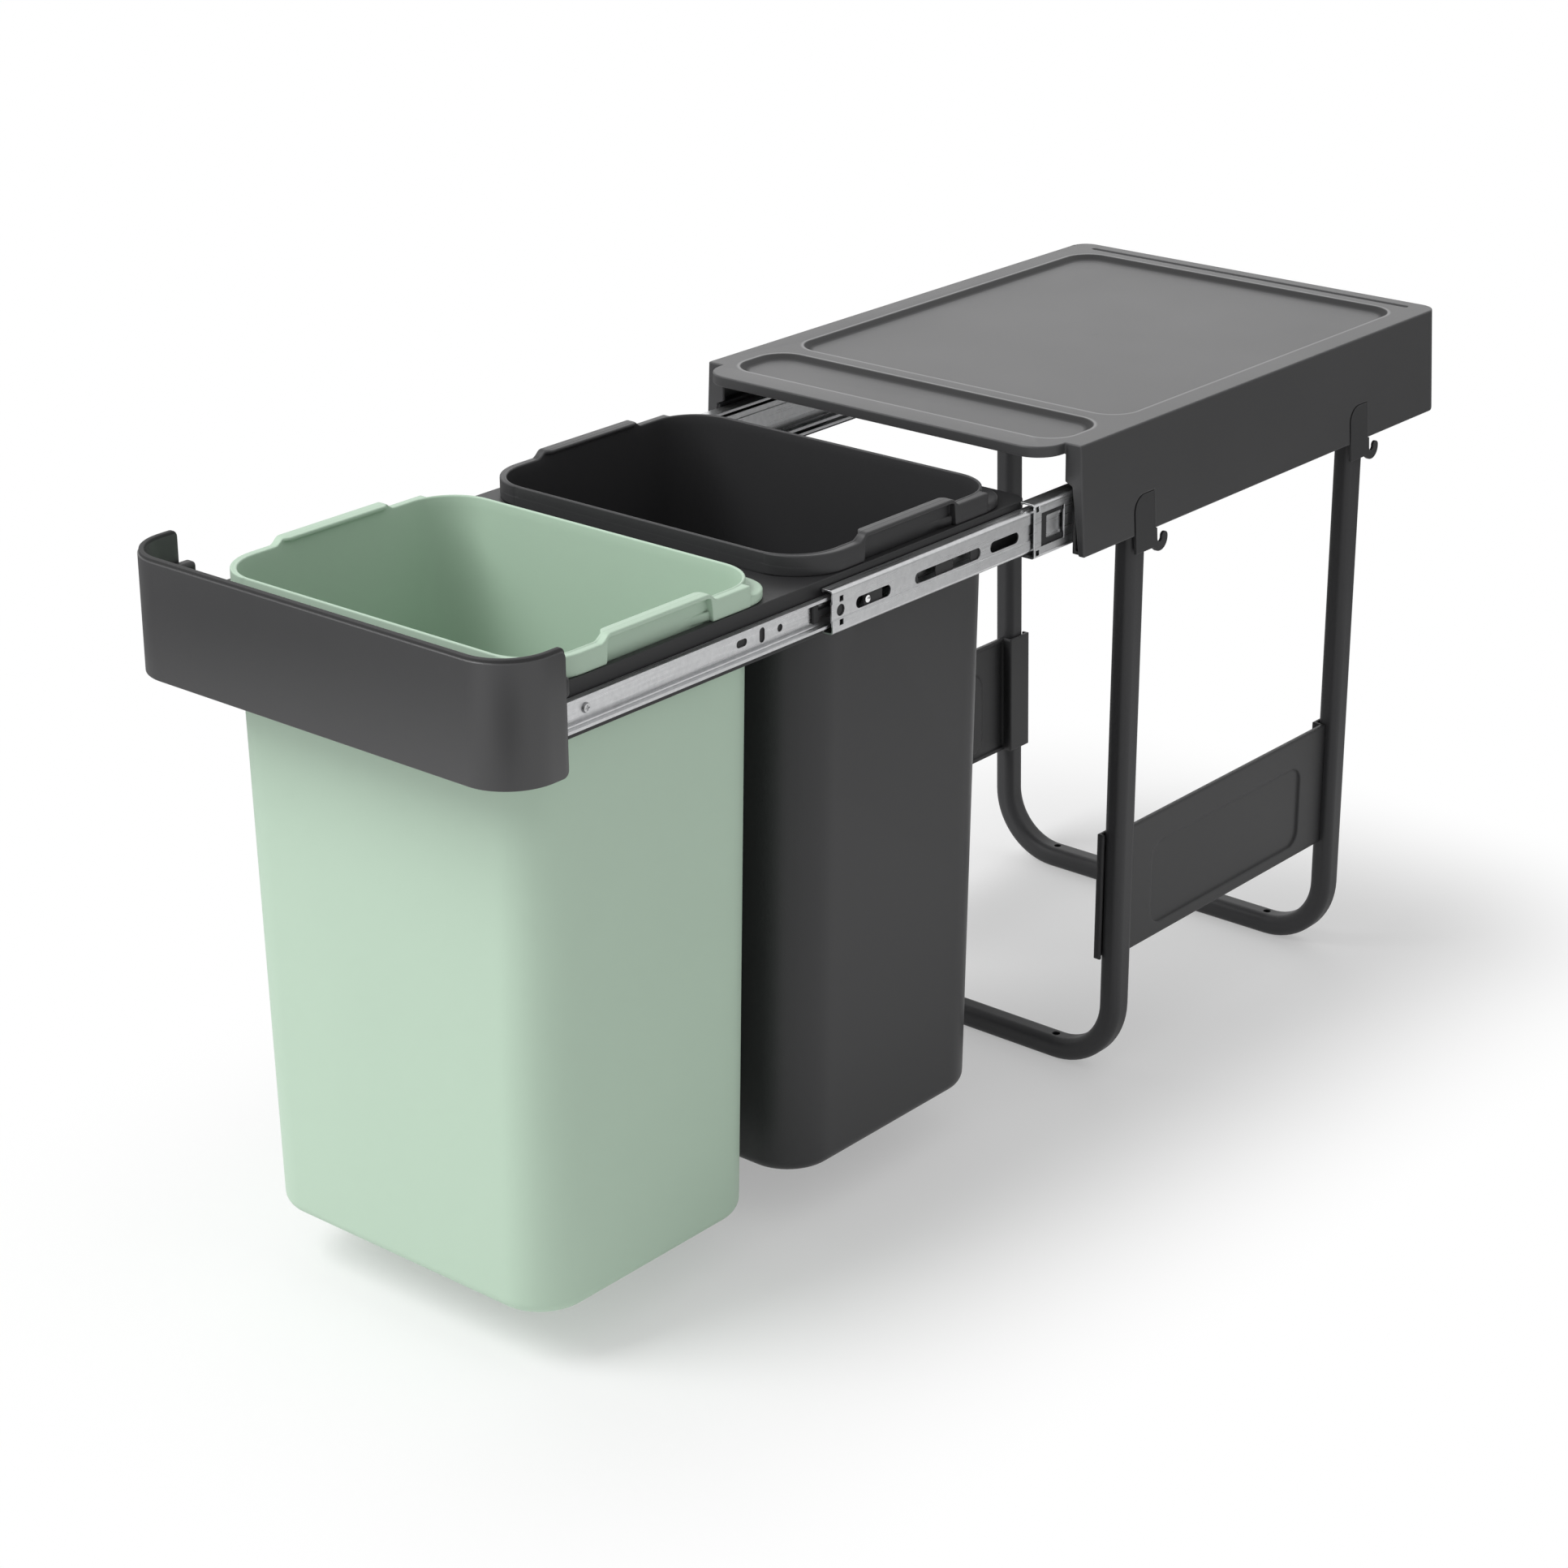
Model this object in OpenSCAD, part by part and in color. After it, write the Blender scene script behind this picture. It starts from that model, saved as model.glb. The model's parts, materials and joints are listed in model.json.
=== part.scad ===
// Pull-out twin waste bin for a base cabinet, drawn with its carriage pulled out.
// +X is to the right seen from the front, the carriage pulls out along -Y, +Z is up.
// The origin lies on the floor, midway between the four floor screw holes.

/* [Top cover] */
// Height of the lid above the floor
unit_h = 509; // [480:1:530]
// Width of the lid across its upper edges
lid_w = 340; // [300:1:360]
// How far each skirt's lower edge stands out beyond the lid's edge
skirt_out = 4; // [3:0.5:8]
// Length of the side skirts from front to rear
skirt_len = 470; // [440:1:480]
// Height of the side skirts
skirt_h = 80; // [77:1:83]
// How far the skirts reach ahead of the front legs
front_reach = 72.5; // [64:0.5:80]
// How far the lid's front lip stands ahead of the skirts
nose = 24.5; // [16:0.5:28]
// Wall thickness of the moulded cover
cover_wall = 2.5; // [2:0.1:3]
// Thickness of the lid's border from its upper face to its underside
lid_t = 6.5; // [5.5:0.1:7]
// Height of the lip along the lid's front edge
lip_h = 8; // [6.5:0.1:10]
// Depth of the two recesses in the lid
recess_depth = 3.5; // [2:0.1:3.8]
// Width of the plain border beside the recesses
border = 19.8; // [16:0.1:26]
// Front-to-rear size of the narrow front recess
tray_d = 58.3; // [44:0.1:66]
// How far the front lip's sides stand in from the lid's edges
nose_in = 13.5; // [11:0.5:18]
// Corner radius of the lid's front lip
nose_r = 22; // [12:1:28]
// Corner radius of the cover's rear corners in plan
rear_r = 14; // [6:1:20]

/* [Leg frames] */
// Distance between the two leg frames
leg_pitch = 287; // [266:1:296]
// Distance from the skirts' lower edges in to the leg axes
leg_in = 12.35; // [11.1:0.05:14]
// How far each leg leans in from the cover to the floor
leg_lean = 5.35; // [3:0.05:7.5]
// Size of the leg tube from front to rear
tube_w = 20; // [16:1:22]
// Size of the leg tube across the frame
tube_t = 17; // [14:1:17.5]
// Corner radius of the leg tube's section
tube_r = 6.5; // [3:0.5:6.5]
// Wall thickness of the leg tube
tube_wall = 1.5; // [1:0.1:2]
// Radius of the tube's bends at its axis
bend_r = 50; // [36:1:54]
// Distance from a leg's axis at the floor in to the floor screw hole
hole_in = 51.3; // [50:0.1:60]
// Diameter of the floor screw holes
hole_d = 6; // [4:0.5:7]

/* [Side panels] */
// Height of the side panels' lower edge
panel_z = 96; // [84:1:130]
// Height of a side panel
panel_h = 99.5; // [70:0.5:130]
// Thickness of the side panels
panel_t = 2.2; // [1.8:0.1:3]
// Depth of the pressed field in a side panel
field_depth = 1.6; // [0.8:0.1:2.2]

/* [Slides] */
// Length of the slides
slide_len = 470; // [456:1:472]
// Height of the outer slide member
outer_h = 39.4; // [38.5:0.1:40]
// Height of the middle slide member
middle_h = 30.2; // [29.9:0.1:30.5]
// Height of the inner slide member
inner_h = 21; // [20.7:0.1:21.3]
// Thickness of the slides across all three members
slide_t = 12.7; // [12.7:0.1:13.2]
// Thickness of the slide members' sheet
sheet_t = 1.2; // [1:0.05:1.25]
// Diameter of the slide balls
ball_d = 2.8; // [2.4:0.1:2.8]
// Depth of the slides' centre line below the lid's upper face
slide_drop = 53.2; // [52.4:0.1:54.4]

/* [Carriage] */
// Travel of the carriage from closed to pulled out
travel = 503; // [476:1:504]
// Distance from the lid's edges in to the faces that carry the slides
rail_in = 8; // [7.8:0.1:8.5]
// Height of the carriage frame's side walls
carriage_h = 37; // [30:1:42]
// Wall thickness of the carriage frame
carriage_wall = 2.5; // [2:0.1:3]
// Distance between the rims of the two bins
bin_space = 30.6; // [26.4:0.2:40]

/* [Front band] */
// How far the band's sides stand in from the skirts' lower edges
band_in = 0.5; // [0:0.1:2]
// Height of the front band
band_h = 82; // [74:1:90]
// Depth of the front band from its face to the ends of its arms
band_d = 48.5; // [44:0.5:60]
// Wall thickness of the front band
band_t = 4.2; // [3:0.1:5]
// Corner radius of the front band
band_r = 36; // [25:1:42]
// How far the band's upper edge stands above the lid
band_rise = 2; // [0:0.5:8]

/* [Bins] */
// Distance from the carriage's sides in to a bin's rim
bin_in = 6.3; // [6:0.1:8.8]
// How far a bin's sides lean in from its rim to its floor
bin_taper_w = 11.6; // [8:0.1:20]
// Front-to-rear size of a bin at its rim
bin_d = 213.6; // [207:0.2:216]
// How far a bin's front and rear lean in from its rim to its floor
bin_taper_d = 2; // [0.8:0.1:8]
// Distance of the bins' rims below the lid's upper face
rim_drop = 18.6; // [17:0.1:40]
// Wall thickness of the bins
bin_wall = 2.2; // [1.6:0.1:2.6]
// Corner radius of the bins
bin_r = 36; // [24:1:44]
// Radius of the edge round a bin's floor
bin_edge_r = 9; // [5:0.5:16]
// How far the bins' flanges stand out over the carriage
flange = 4.8; // [4:0.1:5.4]
// How far a bin's handles stand above its rim
handle_rise = 4.6; // [4:0.1:8]

/* [Hidden] */
$fn = 48;

// Clearances and the overrun of cuts
cut = 1;
gap = 0.3;
fit = 0.1;
hair = 0.03;
seam = 1.6;
close_gap = 10;

// Widths and planes of the cover
skirt_w = lid_w + 2 * skirt_out;
nose_w = lid_w - 2 * nose_in;
front_y = -(leg_pitch / 2 + front_reach);
rear_y = front_y + skirt_len;
skirt_z = unit_h - skirt_h;
flare = atan((skirt_w - lid_w) / 2 / skirt_h);

// Planes of the slides and the carriage, with the carriage pulled out
slide_z = unit_h - slide_drop;
slide_x = lid_w / 2 - rail_in;
carriage_w = 2 * (slide_x - slide_t);
band_w = skirt_w - 2 * band_in;
rail_t = cover_wall;
band_y = front_y - close_gap - travel - band_d;
slide_lead = 41.5;
outer_y = front_y - slide_lead;
inner_y = outer_y - travel;
middle_share = 0.5;
middle_short = 50;
middle_len = slide_len - middle_short;
middle_lag = 39.5;
middle_y = outer_y + middle_lag - travel * middle_share;
cage_len = 150;
cage_lead = 6;

// Sizes that the bins and the carriage share
bin_w = carriage_w - 2 * bin_in;
bin_foot_w = bin_w - 2 * bin_taper_w;
bin_foot_d = bin_d - 2 * bin_taper_d;
bin_pitch = bin_d + bin_space;
bin_floor_gap = 22.8;
bin_z = tube_t + bin_floor_gap;
rim_z = unit_h - rim_drop;
bin_h = rim_z - bin_z;
seat_drop = 14.5;
seat_z = rim_z - seat_drop;
bin_gap = 1;
front_rail = 46.5;
front_bin_y = band_y + band_t + front_rail + bin_d / 2 + bin_gap;
rear_bin_y = front_bin_y + bin_pitch;
rear_rail = 20.6;
carriage_y = band_y + band_t;
carriage_len = rear_bin_y + bin_d / 2 + bin_gap + rear_rail - carriage_y;

// Leg frames
leg_head_w = skirt_w - 2 * leg_in;
leg_foot_w = leg_head_w - 2 * leg_lean;
hole_pitch = leg_foot_w - 2 * hole_in;
lean = atan((leg_head_w - leg_foot_w) / 2 / skirt_z);
leg_tan = (leg_head_w - leg_foot_w) / 2 / skirt_z;

// Colours
dark = [0.22, 0.22, 0.23];
grey = [0.36, 0.36, 0.37];
zinc = [0.72, 0.73, 0.74];
black = [0.12, 0.12, 0.12];

// A rectangle with round corners, centred
module rounded(w, d, r) {
    square([w - 2 * r, d], center = true);
    square([w, d - 2 * r], center = true);
    for (x = [-1, 1], y = [-1, 1])
        translate([x * (w / 2 - r), y * (d / 2 - r)]) circle(r);
}

// The right or the left one of a pair
module side(s) {
    if (s > 0) children();
    else mirror([1, 0, 0]) children();
}

// An outline drawn as (x, z), pulled along +Y
module along_y(y, len) {
    translate([0, y + len, 0]) rotate([90, 0, 0]) linear_extrude(len) children();
}

// An outline drawn as (y, z), pulled along +X
module along_x(x, len) {
    translate([x, 0, 0]) rotate([90, 0, 90]) linear_extrude(len) children();
}

// A plate in the plane of the flaring right skirt, measured inwards from its outer face
module in_skirt(y, t, out = 0) {
    translate([skirt_w / 2, y, skirt_z]) rotate([0, -flare, 0])
        along_x(-t, t + out) children();
}

// Top cover: lid with two recesses, flaring skirts, slide rails and leg spigots
recess_r = 22;
recess_draft = 6;
bridge = 14.7;
rear_border = 27;
tray_front = 23;
hem = 2.5;
bead_w = 4;
bead_h = 1;
spigot = 30;
pad_w = 24;
corner_r = 12;
hem_step = 28;
hem_step_z = unit_h - hem_step;
hem_slide_z = slide_z + outer_h / 2 + gap;

module lid_outline() {
    translate([-lid_w / 2, front_y]) square([lid_w, skirt_len]);
    nose_outline(0);
}

module nose_outline(inset) {
    d = nose + nose_r * 2;
    translate([0, front_y - nose + d / 2 + inset]) rounded(nose_w - 2 * inset, d, nose_r - inset);
}

module recess(y, d, r) {
    w = lid_w - 2 * border;
    hull() {
        translate([0, y + d / 2, unit_h]) linear_extrude(cut) rounded(w, d, r, $fn = 32);
        translate([0, y + d / 2, unit_h - recess_depth])
            linear_extrude(cut)
                rounded(w - 2 * recess_draft, d - 2 * recess_draft, r - recess_draft, $fn = 32);
    }
}

module skirt_section() {
    polygon([[lid_w / 2, unit_h], [skirt_w / 2, skirt_z],
        [skirt_w / 2 - cover_wall, skirt_z], [lid_w / 2 - cover_wall, unit_h]]);
}

module hem_section(inner) {
    polygon([[lid_w / 2, unit_h], [skirt_w / 2, skirt_z], [skirt_w / 2 - 2 * cover_wall, skirt_z],
        [slide_x + gap * 2, hem_slide_z + cover_wall], [inner, hem_step_z], [inner, unit_h]]);
}

module rail_section() {
    inner_x = skirt_w / 2 - cover_wall;
    translate([slide_x, skirt_z]) square([rail_t, slide_z + outer_h / 2 + rail_t - skirt_z]);
    polygon([[slide_x, skirt_z], [inner_x + gap, skirt_z],
        [inner_x + gap - tan(flare) * rail_t, skirt_z + rail_t], [slide_x, skirt_z + rail_t]]);
    translate([slide_x, slide_z + outer_h / 2]) square([lid_w / 2 - slide_x, rail_t]);
}

// One leg's seat under the rail: a pad and the spigot that plugs into the tube
module leg_seat(y) {
    pad_x = (leg_head_w - tube_t) / 2;
    slack = tube_wall + 2 * fit;
    translate([pad_x, y - pad_w / 2, skirt_z]) cube([skirt_w / 2 - cover_wall - pad_x, pad_w, rail_t]);
    translate([leg_head_w / 2, y, skirt_z + rail_t / 2]) rotate([0, lean, 0]) translate([0, 0, -spigot])
        linear_extrude(spigot) rounded(tube_t - 2 * slack, tube_w - 2 * slack, tube_r - slack);
}

module top_cover() {
    inner_w = lid_w - 2 * border + 2 * cover_wall;
    recess_y = front_y + tray_front + tray_d - nose + bridge;
    recess_d = rear_y - rear_border - recess_y;
    color(grey) difference() {
        union() {
            difference() {
                translate([0, 0, unit_h - lid_t]) linear_extrude(lid_t) lid_outline();
                translate([0, 0, unit_h - lid_t - cut]) linear_extrude(lid_t - cover_wall + cut)
                    under_border(inner_w, recess_y);
            }
            translate([0, 0, unit_h - lip_h]) linear_extrude(lip_h) difference() {
                nose_outline(0);
                nose_outline(cover_wall);
                translate([-lid_w / 2, front_y + cover_wall]) square([lid_w, nose_r * 2]);
            }
            for (s = [-1, 1]) side(s) {
                along_y(front_y, skirt_len) skirt_section();
                along_y(front_y, hem) hem_section(nose_w / 2);
                difference() {
                    along_y(rear_y - rear_r, rear_r) hem_section(skirt_w / 2 - rear_r);
                    in_corner(skirt_h - lid_t) {
                        circle(rear_r - cover_wall);
                        translate([-rear_r, -rear_r]) square([rear_r, 2 * rear_r - hem]);
                    }
                }
                along_y(front_y + hem, skirt_len - slide_lead) rail_section();
                for (y = [-leg_pitch, leg_pitch]) leg_seat(y / 2);
            }
        }
        recess(front_y - nose + tray_front, tray_d, recess_r);
        recess(recess_y, recess_d, recess_r);
        translate([0, recess_y + recess_d + rear_border / 2, unit_h - bead_h])
            linear_extrude(bead_h + cut) rounded(lid_w - 2 * border, bead_w, bead_w / 2 - fit);
        for (s = [-1, 1]) side(s) {
            for (y = clip_ys) in_skirt(y, cover_wall + cut, cut) clip_window();
            for (y = cover_screw_ys) translate([slide_x - cut, y, slide_z]) rotate([0, 90, 0])
                cylinder(h = rail_t + 2 * cut, d = screw_d + 2 * fit);
            rear_corner_cut();
        }
    }
}

// An outline in plan about the axis of the cover's rear right corner, which leans with the skirt
module in_corner(h) {
    translate([skirt_w / 2 - rear_r, rear_y - rear_r, skirt_z]) rotate([0, -flare, 0])
        translate([0, 0, -cut]) linear_extrude(h + cut) children();
}

// The lower rear corner of a skirt is round, and so is the cover's corner in plan
module rear_corner_cut() {
    along_x(lid_w / 2 - border, border + skirt_w - lid_w) difference() {
        translate([rear_y - corner_r, skirt_z - cut]) square([corner_r + cut, corner_r + cut]);
        translate([rear_y - corner_r, skirt_z + corner_r]) circle(corner_r);
    }
    in_corner(skirt_h + 2 * cut) difference() {
        square([rear_r + cut, rear_r + cut]);
        translate([hair, hair]) circle(rear_r);
    }
}

// The hollow underside between the lid's edges and the walls of its recesses
module under_border(inner_w, recess_y) {
    tray_y = front_y - nose + tray_front;
    w = lid_w / 2 - cover_wall - inner_w / 2;
    for (x = [-1, 1])
        translate([x * (inner_w / 2 + w / 2), (front_y + rear_y) / 2])
            square([w, skirt_len - 2 * rear_r - 2 * hem], center = true);
    translate([0, rear_y - rear_border / 2 - hem / 4])
        square([inner_w, rear_border - 3 * hem], center = true);
    translate([0, (tray_y + tray_d + recess_y) / 2])
        square([inner_w, bridge - 2 * cover_wall], center = true);
}

// Leg clips: a tongue with a hook, let into the skirt beside each leg and held by a flange inside
clip_front = 10.2;
clip_w = 22.9;
clip_up = 28;
clip_down = 14;
clip_r = 12;
clip_back = 6;
clip_flange = 4;
clip_flange_t = 1.5;
clip_ys = [-leg_pitch / 2, leg_pitch / 2 - clip_back];
hook_y = 18.6;
hook_z = 8.6;
hook_r = 9.6;
hook_gap = 5.8;
hook_depth = 2.6;

// The tongue's outline, its upper front corner round; g widens it and front_g widens its front
module clip_outline(g, front_g) {
    difference() {
        translate([-clip_front - front_g, -clip_down])
            square([clip_w + g + front_g, clip_down + clip_up + g]);
        translate([-clip_front - front_g, clip_up + g - clip_r]) difference() {
            translate([-cut, 0]) square([clip_r + cut, clip_r + cut]);
            translate([clip_r, 0]) circle(clip_r);
        }
    }
}

module clip_window() {
    difference() {
        clip_outline(gap, seam);
        translate([-clip_w, -2 * clip_down]) square([3 * clip_w, 2 * clip_down - cut]);
    }
}

module hook_outline() {
    tip_r = (hook_r - hook_gap / 2) / 2;
    translate([hook_y, -hook_z]) {
        difference() {
            circle(hook_r);
            circle(hook_gap / 2);
            translate([-2 * hook_r, 0]) square([4 * hook_r, 2 * hook_r]);
        }
        translate([hook_gap / 2 + tip_r, 0]) circle(tip_r);
    }
    translate([hook_y - hook_r, -hook_z]) square([hook_r - hook_gap / 2, hook_z - gap]);
}

module leg_clip(s, y) {
    color(dark) side(s) {
        in_skirt(y, cover_wall) clip_outline(0, 0);
        in_skirt(y, hook_depth) hook_outline();
        translate([skirt_w / 2, y, skirt_z]) rotate([0, -flare, 0])
            along_x(-cover_wall - clip_flange_t, clip_flange_t)
                translate([-clip_front - clip_flange, clip_flange])
                    square([clip_w + 2 * clip_flange, clip_up]);
    }
}

// Leg frames: one bent tube across the unit, with two screw holes in its foot.
// The tube is a hair slimmer round its bends than along its straight lengths.

module tube_section(inset) {
    rounded(tube_w - 2 * inset, tube_t - 2 * inset, tube_r - inset);
}

module bent_tube(inset, over) {
    turn = 90 - lean;
    start = leg_foot_w / 2 + leg_tan * (tube_t / 2 + bend_r) - bend_r / cos(lean);
    rise = (skirt_z - gap - tube_t / 2 - bend_r) / cos(lean) + bend_r * leg_tan;
    translate([-start - fit, 0, tube_t / 2]) rotate([90, 0, 90])
        linear_extrude(2 * (start + fit)) tube_section(inset - hair);
    for (s = [-1, 1]) side(s) {
        translate([start, 0, tube_t / 2 + bend_r]) rotate([90, 0, 0]) rotate([0, 0, -90])
            rotate_extrude(angle = turn) translate([bend_r, 0])
                rotate([0, 0, 90]) tube_section(inset);
        translate([start, 0, tube_t / 2 + bend_r]) rotate([0, lean, 0]) translate([bend_r, 0, -fit])
            linear_extrude(rise + fit + over) rotate([0, 0, 90]) tube_section(inset - hair);
    }
}

module leg_frame(y) {
    color(black) translate([0, y, 0]) difference() {
        bent_tube(0, 0);
        bent_tube(tube_wall, cut);
        for (x = [-1, 1]) translate([x * hole_pitch / 2, 0, -cut])
            cylinder(h = tube_t + 2 * cut, d = hole_d);
    }
}

// Side panels: a pressed field between the legs, hooked round both of them
panel_lip = 3.4;
panel_roll = 3;
field_end = 33.7;
field_z = 9.5;
field_h = 66;
field_r = 12;

// The front or the rear one of a pair
module fore_aft(y) {
    if (y < 0) children();
    else mirror([0, 1, 0]) children();
}

// The end of a panel round the inner side of a leg, in plan about the leg's axis
module wrap_section() {
    wrap_x = -tube_t / 2 - gap - panel_t;
    wrap_y = tube_w / 2 + gap;
    translate([wrap_x, -wrap_y - panel_t]) square([panel_t, 2 * (wrap_y + panel_t)]);
    translate([wrap_x, -wrap_y - panel_t]) square([panel_lip + panel_t, panel_t]);
    translate([wrap_x, wrap_y]) square([-wrap_x, panel_t]);
}

module field(over) {
    inner = leg_pitch - tube_w - 2 * gap;
    translate([0, field_z + field_h / 2])
        rounded(inner - 2 * field_end + 2 * over, field_h + 2 * over, field_r + over);
}

module side_panel(s) {
    inner = leg_pitch - tube_w - 2 * gap;
    color(dark) side(s) translate([leg_foot_w / 2, 0, 0]) rotate([0, lean, 0]) translate([0, 0, panel_z]) {
        for (y = [-1, 1]) fore_aft(y) linear_extrude(panel_h) translate([0, -leg_pitch / 2]) wrap_section();
        difference() {
            union() {
                translate([-panel_t, -inner / 2, 0]) cube([panel_t, inner, panel_h]);
                along_x(-panel_t - field_depth, panel_t + field_depth) field(panel_t);
            }
            along_x(-field_depth, field_depth + cut) field(0);
        }
        for (z = [0, panel_h - panel_roll])
            translate([-panel_t - panel_roll / 2, -inner / 2, z])
                cube([panel_roll / 2 + fit, inner, panel_roll]);
    }
}

// Slides: three channels, one inside the next, drawn as (distance from the rail, height)
race = (outer_h - middle_h) / 2 - sheet_t;
outer_reach = slide_t - 2 * gap;
cage_t = 0.7;
middle_s = sheet_t + cage_t + 2 * gap;
middle_reach = slide_t - sheet_t + fit - middle_s;
inner_reach = slide_t - middle_s - sheet_t - 2 * cage_t - 2 * gap;
channel_r = 2.4;
lip = 0.9;
slot_h = 8;
band_step_h = 14;

module channel(reach, h) {
    difference() {
        translate([reach / 2 + channel_r / 2, 0]) rounded(reach + channel_r, h, channel_r);
        translate([reach / 2 + channel_r / 2 + sheet_t, 0])
            rounded(reach + channel_r, h - 2 * sheet_t, channel_r - sheet_t);
        translate([reach, -h]) square([channel_r + cut, 2 * h]);
    }
    for (z = [-1, 1]) translate([reach - sheet_t, z > 0 ? h / 2 - sheet_t - lip : -h / 2])
        square([sheet_t, sheet_t + lip]);
}

// A channel of the right-hand slide, its back at distance s from the rail
module member(s, y, len) {
    translate([slide_x - s, y, slide_z]) mirror([1, 0, 0]) along_y(0, len) children();
}

// A slot through a member's web, its round ends along Y
module slot(y, len, h) {
    translate([0, y, slide_z]) along_x(slide_x - slide_t - cut, slide_t + 2 * cut)
        translate([len / 2, 0]) rounded(len, h, h / 2 - fit);
}

outer_strip = 8;
outer_window = 26;
outer_window_h = 24;
notch = 4;
cover_screw_lead = 40;
cover_screw_span = 300;
cover_screw_ys = [front_y + cover_screw_lead, 0, front_y + cover_screw_lead + cover_screw_span];

module slide_outer(s) {
    color(zinc) side(s) difference() {
        member(0, outer_y, slide_len) channel(outer_reach, outer_h);
        translate([slide_x - sheet_t - cut, outer_y + outer_strip, slide_z - outer_window_h / 2])
            cube([sheet_t + 2 * cut, outer_window, outer_window_h]);
        for (z = [-1, 1]) translate([slide_x - sheet_t - cut, outer_y + notch / 2,
                slide_z + z * (outer_h / 2 - notch) - notch / 2])
            cube([sheet_t + 2 * cut, notch, notch]);
        for (y = cover_screw_ys) translate([slide_x, y, slide_z]) rotate([0, -90, 0])
            countersink(fit);
    }
}

// A countersunk screw's head and shank, its axis along +Z from the rail inwards
screw_d = 4;
head_d = 7.4;
shank = 6;

module countersink(g) {
    translate([0, 0, -shank]) cylinder(h = shank + cut, d = screw_d + 2 * g);
    translate([0, 0, -fit]) cylinder(h = sheet_t + fit, d1 = screw_d + 2 * g, d2 = head_d + 2 * g);
    if (g > 0) translate([0, 0, sheet_t - fit / 2]) cylinder(h = cut, d = head_d + 2 * g);
}

module cover_screws(s) {
    color(zinc) side(s) for (y = cover_screw_ys) translate([slide_x, y, slide_z]) rotate([0, -90, 0])
        difference() {
            countersink(0);
            translate([0, 0, sheet_t - fit]) cylinder(h = 2 * cut, d = head_d + cut);
            cross_recess(sheet_t);
        }
}

// The cross recess in a screw head whose face is at height z
recess_w = 1;
module cross_recess(z) {
    for (a = [0, 90]) rotate([0, 0, a])
        translate([-head_d / 4, -recess_w / 2, z - recess_w]) cube([head_d / 2, recess_w, recess_w + cut]);
}

end_slot = 9;
slot_starts = [24.5, 85.5, 166.7];
slot_lens = [35.7, 70.7, 31.7];

// The middle member's web is set back along its centre
module middle_section() {
    difference() {
        union() {
            channel(middle_reach, middle_h);
            translate([cage_t, -band_step_h / 2]) square([sheet_t, band_step_h]);
        }
        translate([-cut, -band_step_h / 2 + sheet_t]) square([cage_t + cut, band_step_h - 2 * sheet_t]);
    }
}

module slide_middle(s) {
    color(zinc) side(s) difference() {
        member(middle_s, middle_y, middle_len) middle_section();
        for (i = [0:2]) slot(middle_y + slot_starts[i], slot_lens[i], slot_h);
        translate([slide_x - slide_t, middle_y + end_slot, slide_z]) rotate([0, 90, 0])
            cylinder(h = slide_t, d = slot_h);
        for (z = [-1, 1]) translate([slide_x - slide_t / 2, middle_y + end_slot, slide_z + z * slot_h])
            cube([slide_t, notch, notch], center = true);
    }
}

lever_lead = 280;
lever_y = inner_y + lever_lead;
small_hole = 5;
hole_leads = [213, 232.5, 249.8];
hole_ys = [for (lead = hole_leads) inner_y + lead];
carriage_screw_leads = [70.6, 415];
carriage_screw_ys = [for (lead = carriage_screw_leads) inner_y + lead];

module slide_inner(s) {
    back = slide_x - slide_t;
    color(zinc) side(s) difference() {
        translate([back, inner_y, slide_z]) along_y(0, slide_len) channel(inner_reach, inner_h);
        translate([0, hole_ys[0], slide_z]) along_x(back - cut, sheet_t + 2 * cut)
            rounded(small_hole * 2, small_hole, small_hole / 2 - fit);
        translate([0, hole_ys[1], slide_z]) along_x(back - cut, sheet_t + 2 * cut)
            rounded(small_hole, small_hole * 2, small_hole / 2 - fit);
        translate([back - cut, hole_ys[2], slide_z]) rotate([0, 90, 0])
            cylinder(h = sheet_t + 2 * cut, d = small_hole);
        for (y = carriage_screw_ys) translate([back - cut, y, slide_z]) rotate([0, 90, 0])
            cylinder(h = sheet_t + 2 * cut, d = screw_d + 2 * fit);
        translate([back - cut, lever_y + pivot_back, slide_z]) rotate([0, 90, 0])
            cylinder(h = sheet_t + 2 * cut, d = rivet_d + 2 * fit);
    }
}

// Ball cages: a thin web with two perforated strips
strip_t = 1.2;
ball_pitch = 15;
ball_lead = 9;
cage_slots = 4;

module cage(s, y, reach, z, ball_s) {
    translate([slide_x - s, y, slide_z]) mirror([1, 0, 0]) difference() {
        union() {
            translate([0, 0, -z]) cube([cage_t, cage_len, 2 * z]);
            for (k = [-1, 1]) translate([0, 0, k * z - strip_t / 2]) cube([reach, cage_len, strip_t]);
        }
        for (k = [-1, 1], i = [0:ball_count - 1])
            translate([ball_s, ball_lead + i * ball_pitch, k * z - strip_t])
                cylinder(h = 2 * strip_t, d = ball_d + 2 * fit);
        for (i = [0:cage_slots - 1])
            translate([0, cage_len * (i + 1 / 2) / cage_slots, 0]) along_x(-cut, cage_t + 2 * cut)
                rounded(cage_len / cage_slots / 2, z, strip_t);
    }
}

module balls(s, y, z, ball_s) {
    color(zinc) for (k = [-1, 1], i = [0:ball_count - 1])
        translate([slide_x - s - ball_s, y + ball_lead + i * ball_pitch, slide_z + k * z]) sphere(d = ball_d);
}

module outer_cage(s) {
    color(black) side(s) cage(outer_cage_s, outer_cage_y, outer_cage_reach, outer_cage_z, outer_ball_s);
}

module inner_cage(s) {
    color(black) side(s) cage(inner_cage_s, inner_cage_y, inner_cage_reach, inner_cage_z, inner_ball_s);
}

module outer_balls(s) {
    side(s) balls(outer_cage_s, outer_cage_y, outer_cage_z, outer_ball_s);
}

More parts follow.
